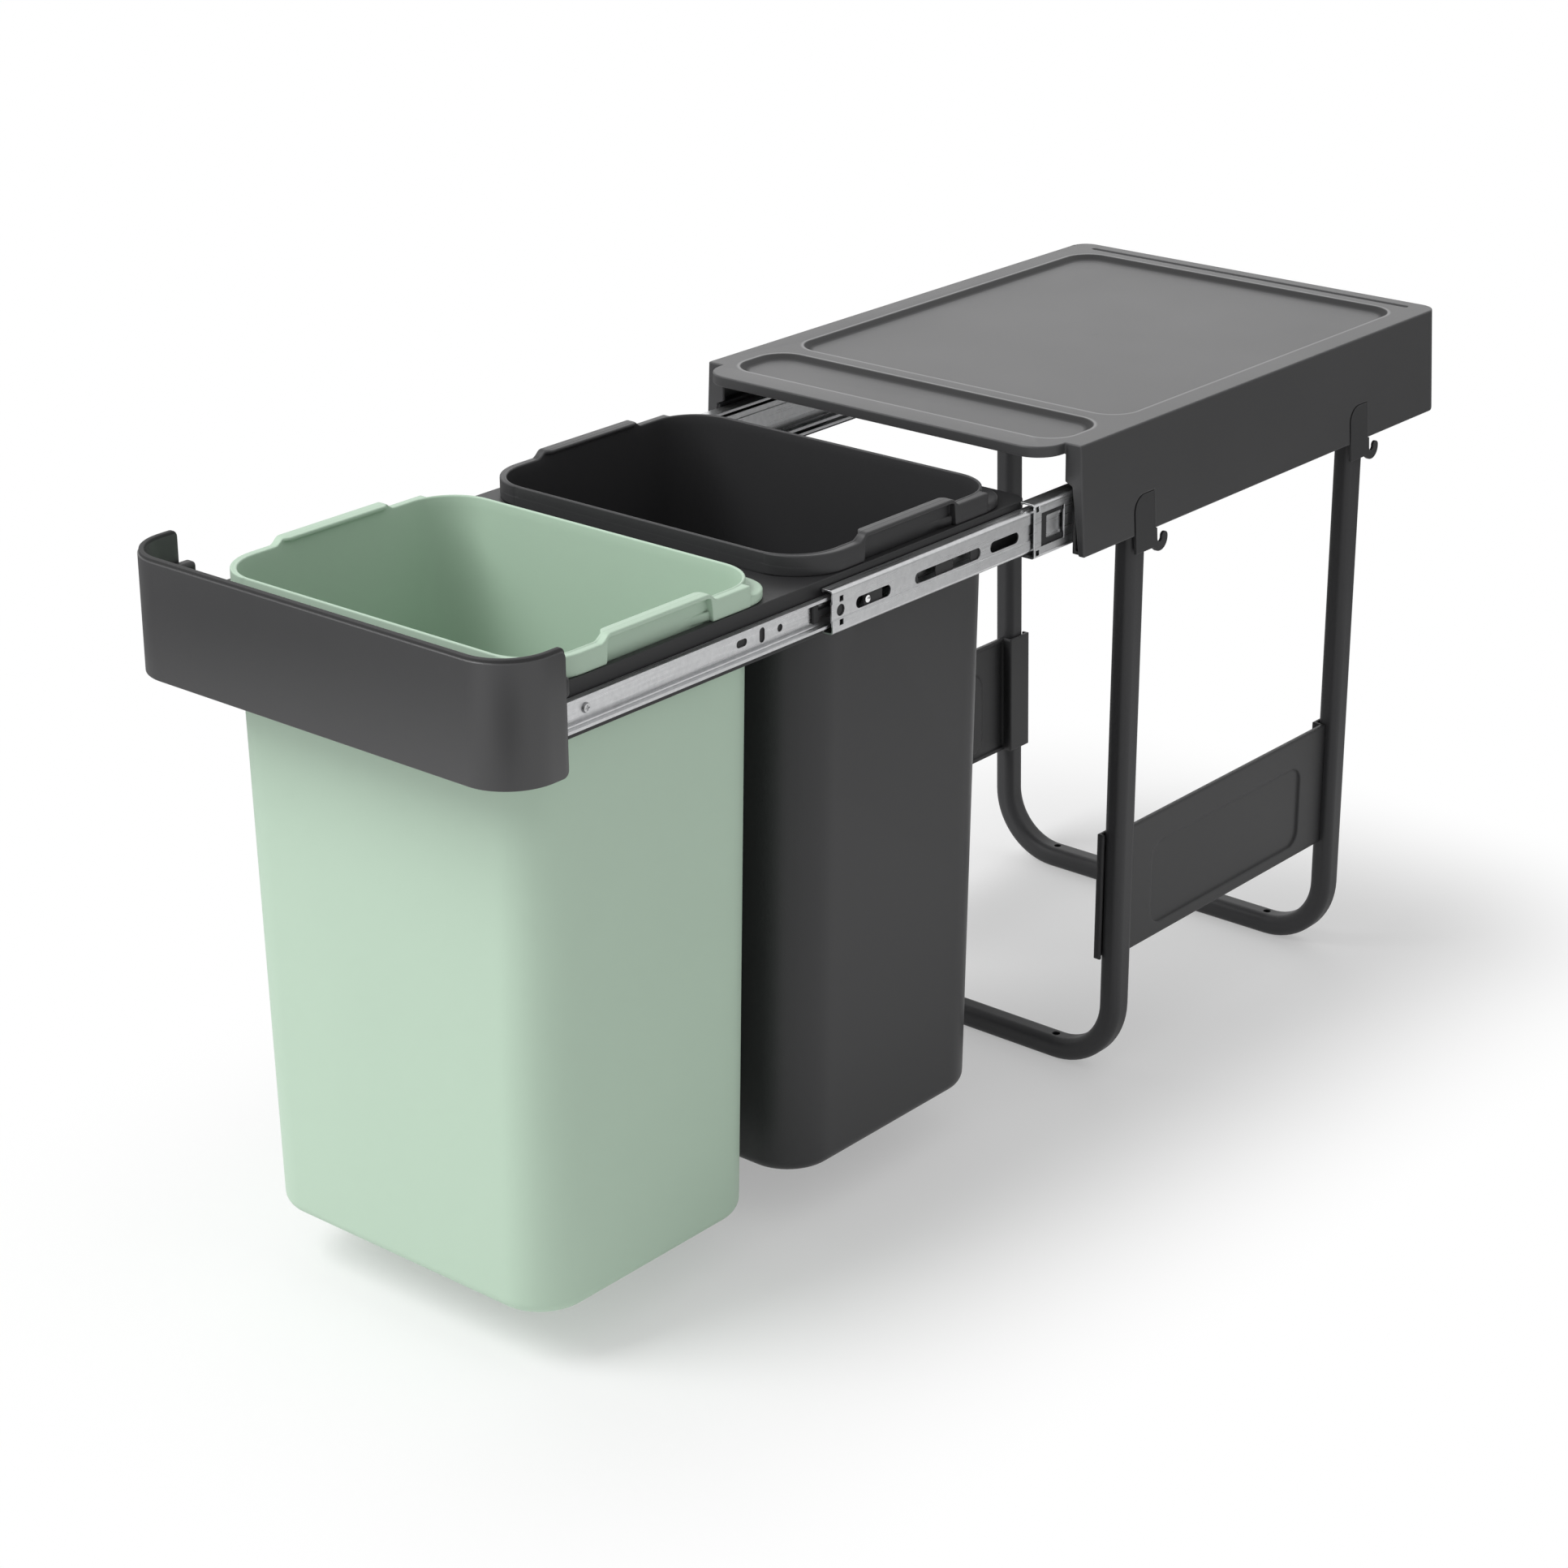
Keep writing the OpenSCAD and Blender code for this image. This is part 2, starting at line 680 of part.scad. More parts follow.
module inner_balls(s) {
    side(s) balls(inner_cage_s, inner_cage_y, inner_cage_z, inner_ball_s);
}

ball_count = floor((cage_len - 2 * ball_lead) / ball_pitch) + 1;
outer_cage_s = sheet_t + gap;
outer_cage_z = (outer_h / 2 - sheet_t + middle_h / 2) / 2;
outer_cage_y = outer_y + cage_lead;
outer_ball_s = 4.4;
outer_cage_reach = 8;
inner_cage_s = middle_s + sheet_t + cage_t + gap;
inner_cage_z = (middle_h / 2 - sheet_t + inner_h / 2) / 2;
inner_cage_y = middle_y + cage_lead;
inner_ball_s = 3.6;
inner_cage_reach = 6;

// Release lever: a flat plastic latch in the inner member's channel, turning on a rivet
lever_t = 2;
lever_len = 56;
lever_h = 12;
lever_neck = 5;
rivet_d = 3;
rivet_head = 5.4;
pivot_back = 26;
lever_s = 4.1;

module release_lever(s) {
    back = slide_x - slide_t + sheet_t + gap;
    color(black) side(s) translate([back, lever_y + pivot_back, slide_z]) difference() {
        along_x(0, lever_t) {
            circle(lever_h / 2);
            translate([-pivot_back, -lever_neck / 2]) square([lever_len - lever_h, lever_neck]);
            translate([-pivot_back, -lever_h / 2]) square([lever_neck, lever_h]);
            translate([lever_len - pivot_back - lever_h, 0]) circle(lever_neck);
        }
        translate([-cut, 0, 0]) rotate([0, 90, 0]) cylinder(h = lever_t + 2 * cut, d = rivet_d + fit);
    }
}

module lever_rivet(s) {
    back = slide_x - slide_t;
    color(zinc) side(s) translate([back, lever_y + pivot_back, slide_z]) rotate([0, 90, 0]) {
        cylinder(h = sheet_t + lever_t + 2 * gap, d = rivet_d);
        translate([0, 0, sheet_t + lever_t + 2 * gap]) cylinder(h = rivet_head / 6, d = rivet_head);
    }
}

// Carriage screws: pan heads inside the inner member's channel
pan_h = 2;
pan_d = 7;
pan_share = 0.8;
pilot = 5;

module carriage_screws(s) {
    color(zinc) side(s) for (y = carriage_screw_ys)
        translate([slide_x - slide_t + sheet_t, y, slide_z]) rotate([0, 90, 0]) difference() {
            union() {
                translate([0, 0, -sheet_t - pilot]) cylinder(h = sheet_t + pilot, d = screw_d);
                cylinder(h = pan_h, d1 = pan_d, d2 = pan_d * pan_share);
            }
            cross_recess(pan_h);
        }
}

// Carriage frame: a flat deck with two openings, side walls and a collar round each opening
deck_t = 3;
collar_h = 14;
collar_t = 1.6;
deck_r = 12;
rib_t = 2;
boss_d = 10;
boss_h = 6;
boss_ins = [83, 25];
boss_xs = [for (side_in = boss_ins) bin_w / 2 - side_in];
band_screw_drop = 18;
band_screw_z = seat_z - band_screw_drop;

module opening(over) {
    for (y = [front_bin_y, rear_bin_y]) translate([0, y])
        rounded(bin_w + 2 * bin_gap + 2 * over, bin_d + 2 * bin_gap + 2 * over, bin_r + bin_gap + over);
}

module deck(inset) {
    translate([0, carriage_y + carriage_len / 2])
        rounded(carriage_w - 2 * inset, carriage_len - 2 * inset, deck_r - inset);
}

module carriage_frame() {
    wall_z = seat_z - carriage_h;
    color(black) difference() {
        union() {
            translate([0, 0, seat_z - deck_t]) linear_extrude(deck_t) deck(0);
            translate([0, 0, wall_z]) linear_extrude(carriage_h) difference() {
                deck(0);
                deck(carriage_wall);
            }
            translate([0, 0, seat_z - collar_h]) linear_extrude(collar_h) opening(collar_t);
            for (x = [-1, 0, 1])
                translate([x * bin_w / 3 - rib_t / 2, carriage_y + fit, seat_z - carriage_h / 2])
                    cube([rib_t, front_rail, carriage_h / 2]);
        }
        translate([0, 0, seat_z - carriage_h - cut]) linear_extrude(carriage_h + 2 * cut) opening(0);
        for (x = boss_xs, k = [-1, 1]) translate([k * x, carriage_y - cut, band_screw_z]) rotate([-90, 0, 0])
            cylinder(h = carriage_wall + 2 * cut, d = boss_d + 2 * gap);
        for (s = [-1, 1], y = carriage_screw_ys) translate([0, y, slide_z]) rotate([0, 90, 0])
            translate([0, 0, s > 0 ? carriage_w / 2 - pilot - cut : -carriage_w / 2 - cut])
                cylinder(h = pilot + 2 * cut, d = screw_d + 2 * fit);
    }
}

// Front band: the curved front with its two arms, its rim stepped at the top
rim_step = 3;
rim_t = 2.2;
arm_block = 12;
arm_block_h = 10;

module band_outline(t) {
    difference() {
        translate([0, band_y + band_d]) rounded(band_w, 2 * band_d, band_r);
        translate([0, band_y + band_d + t]) rounded(band_w - 2 * t, 2 * band_d, band_r - t);
        translate([-band_w, band_y + band_d]) square([2 * band_w, 2 * band_d]);
    }
}

module front_band() {
    top_z = unit_h + band_rise;
    color(dark) difference() {
        union() {
            translate([0, 0, top_z - band_h]) linear_extrude(band_h) band_outline(rim_t);
            translate([0, 0, top_z - band_h]) linear_extrude(band_h - rim_step) band_outline(band_t);
            for (x = boss_xs, k = [-1, 1]) translate([k * x, band_y + band_t - fit, band_screw_z])
                rotate([-90, 0, 0]) cylinder(h = boss_h + fit, d = boss_d);
            for (k = [-1, 1])
                translate([k * (band_w / 2 - band_t - arm_block / 2), band_y + band_d - arm_block,
                        seat_z + arm_block_h / 2])
                    cube([arm_block, arm_block, arm_block_h], center = true);
        }
        for (x = boss_xs, k = [-1, 1]) translate([k * x, band_y + band_t, band_screw_z])
            rotate([-90, 0, 0]) cylinder(h = boss_h + cut, d = screw_d + 2 * fit);
    }
}

module band_screws() {
    z = band_screw_z;
    color(zinc) for (x = boss_xs, k = [-1, 1])
        translate([k * x, band_y + band_t + boss_h, z]) rotate([-90, 0, 0]) difference() {
            union() {
                translate([0, 0, -boss_h + fit]) cylinder(h = boss_h, d = screw_d);
                cylinder(h = pan_h, d1 = boss_d + flange, d2 = boss_d);
            }
            cross_recess(pan_h);
        }
}

// Bins: a tapering shell with round corners, a flange that sits on the deck, and two handles
corner_steps = 8;
edge_steps = 4;
seat_flange = 6.5;
handle_half = 45;
handle_foot = 7;
handle_t = 3;
long_stub = 101;
collar_r = 26;
short_stub = 84;
grip_in = 3.6;
foot_steps = 6;

function ring(hw, hd, r, z) = [for (k = [0:3]) for (i = [0:corner_steps])
    let (a = 90 * (k + i / corner_steps), sx = k == 0 || k == 3 ? 1 : -1, sy = k < 2 ? 1 : -1)
    [sx * (hw - r) + r * cos(a), sy * (hd - r) + r * sin(a), z]];

// Half width and half depth of the bin's outside at a height above its floor
function at_w(h) = (bin_foot_w + (bin_w - bin_foot_w) * h / bin_h) / 2;
function at_d(h) = (bin_foot_d + (bin_d - bin_foot_d) * h / bin_h) / 2;

function wall_ring(h, in) = ring(at_w(h) - in, at_d(h) - in, bin_r - in, bin_z + h);
function collar_ring(h) = ring(at_w(h) + flange, at_d(h) + flange, collar_r, bin_z + h);

function edge_rings(in, sign) = [for (j = [0:edge_steps])
    let (a = 90 * (sign > 0 ? j : edge_steps - j) / edge_steps, r = bin_edge_r)
    ring(at_w(r) - in - r * (1 - sin(a)), at_d(r) - in - r * (1 - sin(a)),
        bin_r - in - r * (1 - sin(a)), bin_z + in + r * (1 - cos(a)))];

function bin_rings() = concat(edge_rings(0, 1),
    [wall_ring(bin_h - seat_drop, 0), collar_ring(bin_h - seat_drop),
        collar_ring(bin_h - seat_drop + seat_flange), wall_ring(bin_h - seat_drop + seat_flange, 0),
        wall_ring(bin_h, 0), wall_ring(bin_h, bin_wall)],
    edge_rings(bin_wall, -1));

module loft(rings) {
    n = len(rings[0]);
    m = len(rings);
    points = [for (q = rings) for (p = q) p];
    polyhedron(points, concat(
        [[for (i = [0:n - 1]) i]],
        [for (j = [0:m - 2]) for (i = [0:n - 1]) [j * n + i, (j + 1) * n + i, j * n + (i + 1) % n]],
        [for (j = [0:m - 2]) for (i = [0:n - 1])
            [j * n + (i + 1) % n, (j + 1) * n + i, (j + 1) * n + (i + 1) % n]],
        [[for (i = [n - 1:-1:0]) (m - 1) * n + i]]), convexity = 6);
}

// The handle's upper edge as (y, z), rising by drop less than its full height over curved feet
function foot(i) = (1 - cos(180 * i / foot_steps)) / 2;
function handle_edge(in, drop) = concat(
    [for (i = [0:foot_steps])
        [-handle_half - handle_foot * (1 - i / foot_steps) + in, rim_z - drop + handle_rise * foot(i)]],
    [for (i = [foot_steps:-1:0])
        [handle_half + handle_foot * (1 - i / foot_steps) - in, rim_z - drop + handle_rise * foot(i)]]);

// The strip of a handle with its two feet, seen from the side
module grip_outline() {
    difference() {
        polygon(handle_edge(0, 0));
        polygon(handle_edge(handle_t, handle_t));
    }
}

// The low flange bars on both sides of the handle's feet, one longer than the other
module bar_outline() {
    low = seat_z + seat_flange - fit;
    b = handle_half + handle_foot;
    translate([-long_stub, low]) square([long_stub - b + handle_t, rim_z - low]);
    translate([b - handle_t, low]) square([short_stub - b + handle_t, rim_z - low]);
}

module bin(y) {
    translate([0, y, 0]) {
        loft(bin_rings());
        for (a = [0, 180]) rotate([0, 0, a]) {
            along_x(bin_w / 2 - bin_wall / 2, flange + bin_wall / 2) bar_outline();
            along_x(bin_w / 2 - bin_wall - grip_in, flange + bin_wall + grip_in) grip_outline();
            along_x(bin_w / 2 - bin_wall, bin_wall) difference() {
                polygon(handle_edge(0, 0));
                translate([-long_stub, rim_z - bin_wall]) square([2 * long_stub, bin_wall - fit]);
            }
        }
    }
}

module front_bin() {
    color([0.7, 0.79, 0.71]) bin(front_bin_y);
}

module rear_bin() {
    color([0.25, 0.25, 0.26]) bin(rear_bin_y);
}

top_cover();
leg_frame(-leg_pitch / 2);  // front_leg_frame
leg_frame(leg_pitch / 2);  // rear_leg_frame
side_panel(1);  // side_panel_right
side_panel(-1);  // side_panel_left
leg_clip(1, clip_ys[0]);  // leg_clip_front_right
leg_clip(-1, clip_ys[0]);  // leg_clip_front_left
leg_clip(1, clip_ys[1]);  // leg_clip_rear_right
leg_clip(-1, clip_ys[1]);  // leg_clip_rear_left
slide_outer(1);  // slide_outer_right
slide_outer(-1);  // slide_outer_left
slide_middle(1);  // slide_middle_right
slide_middle(-1);  // slide_middle_left
slide_inner(1);  // slide_inner_right
slide_inner(-1);  // slide_inner_left
outer_cage(1);  // outer_cage_right
outer_cage(-1);  // outer_cage_left
inner_cage(1);  // inner_cage_right
inner_cage(-1);  // inner_cage_left
outer_balls(1);  // outer_balls_right
outer_balls(-1);  // outer_balls_left
inner_balls(1);  // inner_balls_right
inner_balls(-1);  // inner_balls_left
release_lever(1);  // release_lever_right
release_lever(-1);  // release_lever_left
lever_rivet(1);  // lever_rivet_right
lever_rivet(-1);  // lever_rivet_left
cover_screws(1);  // cover_screws_right
cover_screws(-1);  // cover_screws_left
carriage_screws(1);  // carriage_screws_right
carriage_screws(-1);  // carriage_screws_left
carriage_frame();
front_band();
band_screws();
front_bin();
rear_bin();
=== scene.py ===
import json
import math

import bmesh
import bpy
import numpy as np
from mathutils import Matrix, Vector


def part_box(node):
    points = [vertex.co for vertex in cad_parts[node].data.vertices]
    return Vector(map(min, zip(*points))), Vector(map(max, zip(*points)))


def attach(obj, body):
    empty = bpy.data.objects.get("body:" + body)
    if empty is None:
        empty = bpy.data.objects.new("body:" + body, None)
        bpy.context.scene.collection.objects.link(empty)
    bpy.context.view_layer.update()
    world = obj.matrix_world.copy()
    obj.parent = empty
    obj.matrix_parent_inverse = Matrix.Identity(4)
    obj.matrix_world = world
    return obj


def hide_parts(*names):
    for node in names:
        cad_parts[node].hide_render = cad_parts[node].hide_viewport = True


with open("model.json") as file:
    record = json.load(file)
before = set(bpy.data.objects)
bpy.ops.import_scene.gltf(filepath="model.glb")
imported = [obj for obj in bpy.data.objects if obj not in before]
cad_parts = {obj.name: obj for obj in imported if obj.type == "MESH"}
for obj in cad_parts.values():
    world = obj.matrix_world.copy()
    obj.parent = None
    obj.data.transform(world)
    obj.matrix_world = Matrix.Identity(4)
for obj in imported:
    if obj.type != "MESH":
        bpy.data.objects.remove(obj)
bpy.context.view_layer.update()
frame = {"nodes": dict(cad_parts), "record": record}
nodes = frame["nodes"]
print("waste bin unit: frame loaded,", len(nodes), "solids")


# An object of the scene round a camera, a light or a mesh
def newObject(name, data):
    made = bpy.data.objects.new(name, data)
    bpy.context.scene.collection.objects.link(made)
    return made


# Camera: place in metres and angles in degrees, solved from the photograph's own edges; the shift is in
# sensor widths
cameraSetup = {
    "place": (1.55597, -2.14531, 1.23818),
    "yaw": 40.62,
    "tilt": 19.44,
    "roll": -0.54,
    "lens": 83.21,
    "sensor": 36.0,
    "shiftY": -0.12008,
    "near": 0.05,
    "far": 60.0,
}


def makeCamera(setup):
    yaw, tilt, roll = (math.radians(setup[k]) for k in ("yaw", "tilt", "roll"))
    forward = Vector((-math.sin(yaw) * math.cos(tilt), math.cos(yaw) * math.cos(tilt), -math.sin(tilt)))
    level = Vector((math.cos(yaw), math.sin(yaw), 0.0))
    upright = level.cross(forward)
    right = level * math.cos(roll) + upright * math.sin(roll)
    up = upright * math.cos(roll) - level * math.sin(roll)
    data = bpy.data.cameras.new("photoCamera")
    data.sensor_width = setup["sensor"]
    data.lens = setup["lens"]
    data.shift_y = setup["shiftY"]
    data.clip_start, data.clip_end = setup["near"], setup["far"]
    camera = newObject("photoCamera", data)
    turn = Matrix((right, up, -forward)).transposed()
    camera.matrix_world = Matrix.Translation(setup["place"]) @ turn.to_4x4()
    bpy.context.scene.camera = camera


makeCamera(cameraSetup)
bpy.context.scene.view_settings.view_transform = "Standard"


# A small helper round the node tree of a world, a material or a group
class NodeBench:
    def __init__(self, tree):
        self.tree = tree

    def link(self, source, target):
        self.tree.links.new(source, target)

    def linkAll(self, results, targets):
        for label, result in results.items():
            self.link(result, targets[label])

    # values go to the node's inputs, linked where they are sockets; settings go to the node itself
    def add(self, kind, values=None, **settings):
        node = self.tree.nodes.new("ShaderNode" + kind)
        for key, value in settings.items():
            setattr(node, key, value)
        for key, value in (values or {}).items():
            if isinstance(value, bpy.types.NodeSocket):
                self.link(value, node.inputs[key])
            else:
                node.inputs[key].default_value = value
        return node

    def maths(self, operation, a, b=0.0):
        return self.add("Math", {0: a, 1: b}, operation=operation).outputs[0]

    # distances, lengths and dot products come out as numbers, all else as vectors
    def vector(self, operation, a, b=(0, 0, 0)):
        node = self.add("VectorMath", {0: a, 1: b}, operation=operation)
        return node.outputs["Value" if operation in ("DISTANCE", "LENGTH", "DOT_PRODUCT") else "Vector"]

    def ramp(self, value, fromMin=0.0, fromMax=1.0, toMin=0.0, toMax=1.0, **settings):
        return self.add("MapRange", {"Value": value, "From Min": fromMin, "From Max": fromMax,
                                     "To Min": toMin, "To Max": toMax}, **settings).outputs[0]

    def mixTone(self, share, low, high):
        return self.add("Mix", {"Factor": share, "A": low, "B": high}, data_type="RGBA").outputs["Result"]

    def mixValue(self, share, low, high):
        return self.add("Mix", {"Factor": share, "A": low, "B": high}).outputs["Result"]

    def noise(self, where, scale, shape):
        return self.add("TexNoise", {"Vector": where, "Scale": scale, **shape}).outputs["Fac"]

    def objectPoint(self):
        return self.add("TexCoord").outputs["Object"]

    def place(self, group, values=None):
        node = self.tree.nodes.new("ShaderNodeGroup")
        node.node_tree = group
        for key, value in (values or {}).items():
            node.inputs[key].default_value = value
        return node.outputs


# World and softboxes: what the lens and reflections see is white, what lights the object is softer.
# Powers in watts, sizes and places in metres
lightSetup = {
    "seenWhite": 1.0,
    "ambient": 0.52,
    "keyPower": 140.0,
    "keySize": 2.6,
    "keyPlace": (-1.5, -3.0, 3.6),
    "rearPower": 8.0,
    "rearSize": 2.2,
    "rearPlace": (-2.6, 3.2, 2.2),
    "aim": (0.0, -0.25, 0.25),
}


def makeWorld(setup):
    world = bpy.data.worlds.new("paleStudio")
    bpy.context.scene.world = world
    world.use_nodes = True
    world.node_tree.nodes.clear()
    bench = NodeBench(world.node_tree)
    path = bench.add("LightPath").outputs
    direct = bench.maths("MAXIMUM", path["Is Camera Ray"], path["Is Glossy Ray"])
    seen = bench.maths("MAXIMUM", direct, path["Is Transmission Ray"])
    level = bench.ramp(seen, toMin=setup["ambient"], toMax=setup["seenWhite"])
    sky = bench.add("Background", {"Color": (1, 1, 1, 1), "Strength": level})
    bench.link(sky.outputs[0], bench.add("OutputWorld").inputs["Surface"])


def makeLamp(name, place, aim, size, power):
    data = bpy.data.lights.new(name, "AREA")
    data.shape, data.size, data.energy = "SQUARE", size, power
    lamp = newObject(name, data)
    away = Vector(place) - Vector(aim)
    lamp.matrix_world = Matrix.Translation(place) @ away.to_track_quat("Z", "Y").to_matrix().to_4x4()


makeWorld(lightSetup)
for part in ("key", "rear"):
    makeLamp(part + "Softbox", lightSetup[part + "Place"], lightSetup["aim"],
             lightSetup[part + "Size"], lightSetup[part + "Power"])
print("waste bin unit: camera, world and softboxes set")


def newGroup(name, inputs, outputs):
    group = bpy.data.node_groups.new(name, "ShaderNodeTree")
    for label, value in inputs.items():
        socket = group.interface.new_socket(label, in_out="INPUT", socket_type="NodeSocketFloat")
        socket.default_value = value
    for label, kind in outputs.items():
        group.interface.new_socket(label, in_out="OUTPUT", socket_type="NodeSocket" + kind)
    ins = group.nodes.new("NodeGroupInput").outputs
    outs = group.nodes.new("NodeGroupOutput").inputs
    return group, NodeBench(group), ins, outs


# Edge masks: the dot products of soft and true direction at which an edge begins and is full, how many
# radii the hollow mask looks out, and the shares of open space at which the painted shade of a hollow
# begins and is full
edgeSetup = {"radius": 0.001, "edgeFrom": 0.995, "edgeTo": 0.9, "reach": 4.0, "hollowFrom": 0.85,
             "hollowTo": 0.45, "samples": 4}


# Rounded edges: the surface's direction averaged over a small radius, a mask where it turns away from
# the true one, on which the finishes paint a highlight, and a mask of how much of the space just above
# the surface is closed in, on which they paint shade
def softEdgeGroup(setup):
    group, bench, ins, outs = newGroup(
        "softEdge", {"Radius": setup["radius"]}, {"Normal": "Vector", "Edge": "Float", "HollowShade": "Float"})
    soft = bench.add("Bevel", {"Radius": ins["Radius"]}, samples=setup["samples"]).outputs[0]
    along = bench.vector("DOT_PRODUCT", soft, bench.add("NewGeometry").outputs["Normal"])
    reach = bench.maths("MULTIPLY", ins["Radius"], setup["reach"])
    closed = bench.add("AmbientOcclusion", {"Distance": reach}, samples=setup["samples"], only_local=True)
    bench.linkAll({
        "Normal": soft,
        "Edge": bench.ramp(along, setup["edgeFrom"], setup["edgeTo"]),
        "HollowShade": bench.ramp(closed.outputs["AO"], setup["hollowFrom"], setup["hollowTo"]),
    }, outs)
    return group


# Scales per metre, and the shapes of the noises
grainSetup = {"grainScale": 1500.0, "fine": {"Detail": 2.0, "Roughness": 0.6},
              "cloudScale": 6.0, "broad": {"Detail": 4.0, "Roughness": 0.55}}


# Spark-eroded mould grain: fine noise for relief, a broad noise for slight shifts of tone
def mouldGrainGroup(setup):
    group, bench, ins, outs = newGroup(
        "mouldGrain", {"Grain Scale": setup["grainScale"], "Cloud Scale": setup["cloudScale"]},
        {"Relief": "Float", "Cloud": "Float"})
    where = bench.objectPoint()
    bench.linkAll({"Relief": bench.noise(where, ins["Grain Scale"], setup["fine"]),
                   "Cloud": bench.noise(where, ins["Cloud Scale"], setup["broad"])}, outs)
    return group


# Scales per metre; the streaks are drawn out along Y by the small middle share
rollingSetup = {"drawn": (1.0, 0.02, 1.0),
                "streakScale": 900.0, "streak": {"Detail": 3.0, "Roughness": 0.6},
                "mottleScale": 260.0, "mottle": {"Detail": 3.0, "Roughness": 0.65}}


# Rolling marks of strip steel: noise drawn out along the slide, and the mottle of zinc plating
def rolledZincGroup(setup):
    group, bench, ins, outs = newGroup(
        "rolledZinc", {"Streak Scale": setup["streakScale"], "Mottle Scale": setup["mottleScale"]},
        {"Streak": "Float", "Mottle": "Float"})
    where = bench.objectPoint()
    drawn = bench.add("Mapping", {"Vector": where, "Scale": setup["drawn"]}).outputs[0]
    bench.linkAll({"Streak": bench.noise(drawn, ins["Streak Scale"], setup["streak"]),
                   "Mottle": bench.noise(where, ins["Mottle Scale"], setup["mottle"])}, outs)
    return group


edgeGroup = softEdgeGroup(edgeSetup)
grainGroup = mouldGrainGroup(grainSetup)
zincGroup = rolledZincGroup(rollingSetup)


# How far a point lies outside an endlessly high block: length of its excess over the half sides
def distanceOutside(bench, where, middle, half):
    side = bench.vector("ABSOLUTE", bench.vector("SUBTRACT", where, middle + (0,)))
    excess = bench.vector("MAXIMUM", bench.vector("SUBTRACT", side, half + (10,)), (0, 0, 0))
    return bench.vector("LENGTH", excess)


# The lid's own marks, in metres from its middle and its top face: the two sunk fields take an even tone
# of their own, their lips carry a painted highlight, the slopes between them are dull and carry a painted
# shade, and the gate mark sits in the middle
lidSetup = {
    "fieldDepth": 0.0035, "depthSlack": 0.0003,
    "slope": 0.006, "slopeFade": 0.0016, "corner": 0.022, "lip": 0.0019, "slopeRough": 0.75,
    "fields": ({"half": (0.1502, 0.02915), "middle": (0.0, -0.18835)},
               {"half": (0.1502, 0.18575), "middle": (0.0, 0.04125)}),
    "gate": (0.0012, 0.0346), "gateSize": 0.0022, "gateSharp": 0.6,
    # the lip tone is a painted highlight and the slope tone a painted shade
    "fieldTone": (0.051, 0.051, 0.0525), "lipTone": (0.2, 0.2, 0.202),
    "slopeTone": (0.02, 0.02, 0.0205), "gateTone": (0.03, 0.03, 0.031),
}


# The lid's masks, only near its top face. The distance to a field's round-cornered outline is the
# distance outside the rectangle of its corner centres less the corner's radius, below nought inside
def lidMarksGroup(setup, top):
    labels = ("Field", "Lip", "Slope", "Gate")
    group, bench, _, outs = newGroup("lidMarks", {}, dict.fromkeys(labels, "Float"))
    where = bench.objectPoint()
    height = bench.add("SeparateXYZ", {0: where}).outputs["Z"]
    near = bench.maths("GREATER_THAN", height, top - setup["fieldDepth"] - setup["depthSlack"])
    corner, slope, fade = setup["corner"], setup["slope"], setup["slopeFade"]
    first, second = (
        bench.maths("SUBTRACT", distanceOutside(bench, where, field["middle"],
                                                tuple(h - corner for h in field["half"])), corner)
        for field in setup["fields"])
    away = bench.maths("MINIMUM", first, second)
    flat = bench.ramp(away, -slope + fade, -slope - fade)
    fromLip = bench.maths("ABSOLUTE", bench.maths("SUBTRACT", away, setup["lip"] / 2))
    below = bench.maths("LESS_THAN", away, 0.0)
    fromGate = bench.vector("DISTANCE", where, setup["gate"] + (top - setup["fieldDepth"],))
    # the lip mask carries a painted highlight, and the slope mask carries a painted shade as well as the
    # slopes' roughness
    masks = {
        "Field": flat,
        "Lip": bench.ramp(fromLip, setup["lip"], 0.0),
        "Slope": bench.maths("MULTIPLY", below, bench.maths("SUBTRACT", 1.0, flat)),
        "Gate": bench.ramp(fromGate, setup["gateSize"], setup["gateSize"] * setup["gateSharp"]),
    }
    bench.linkAll({label: bench.maths("MULTIPLY", mask, near) for label, mask in masks.items()}, outs)
    return group


def newMaterial(name):
    material = bpy.data.materials.new(name)
    material.use_nodes = True
    return material, NodeBench(material.node_tree), material.node_tree.nodes["Principled BSDF"]


# A colour times a factor, opaque
def scaled(tone, factor=1.0):
    return tuple(min(1.0, c * factor) for c in tone) + (1,)
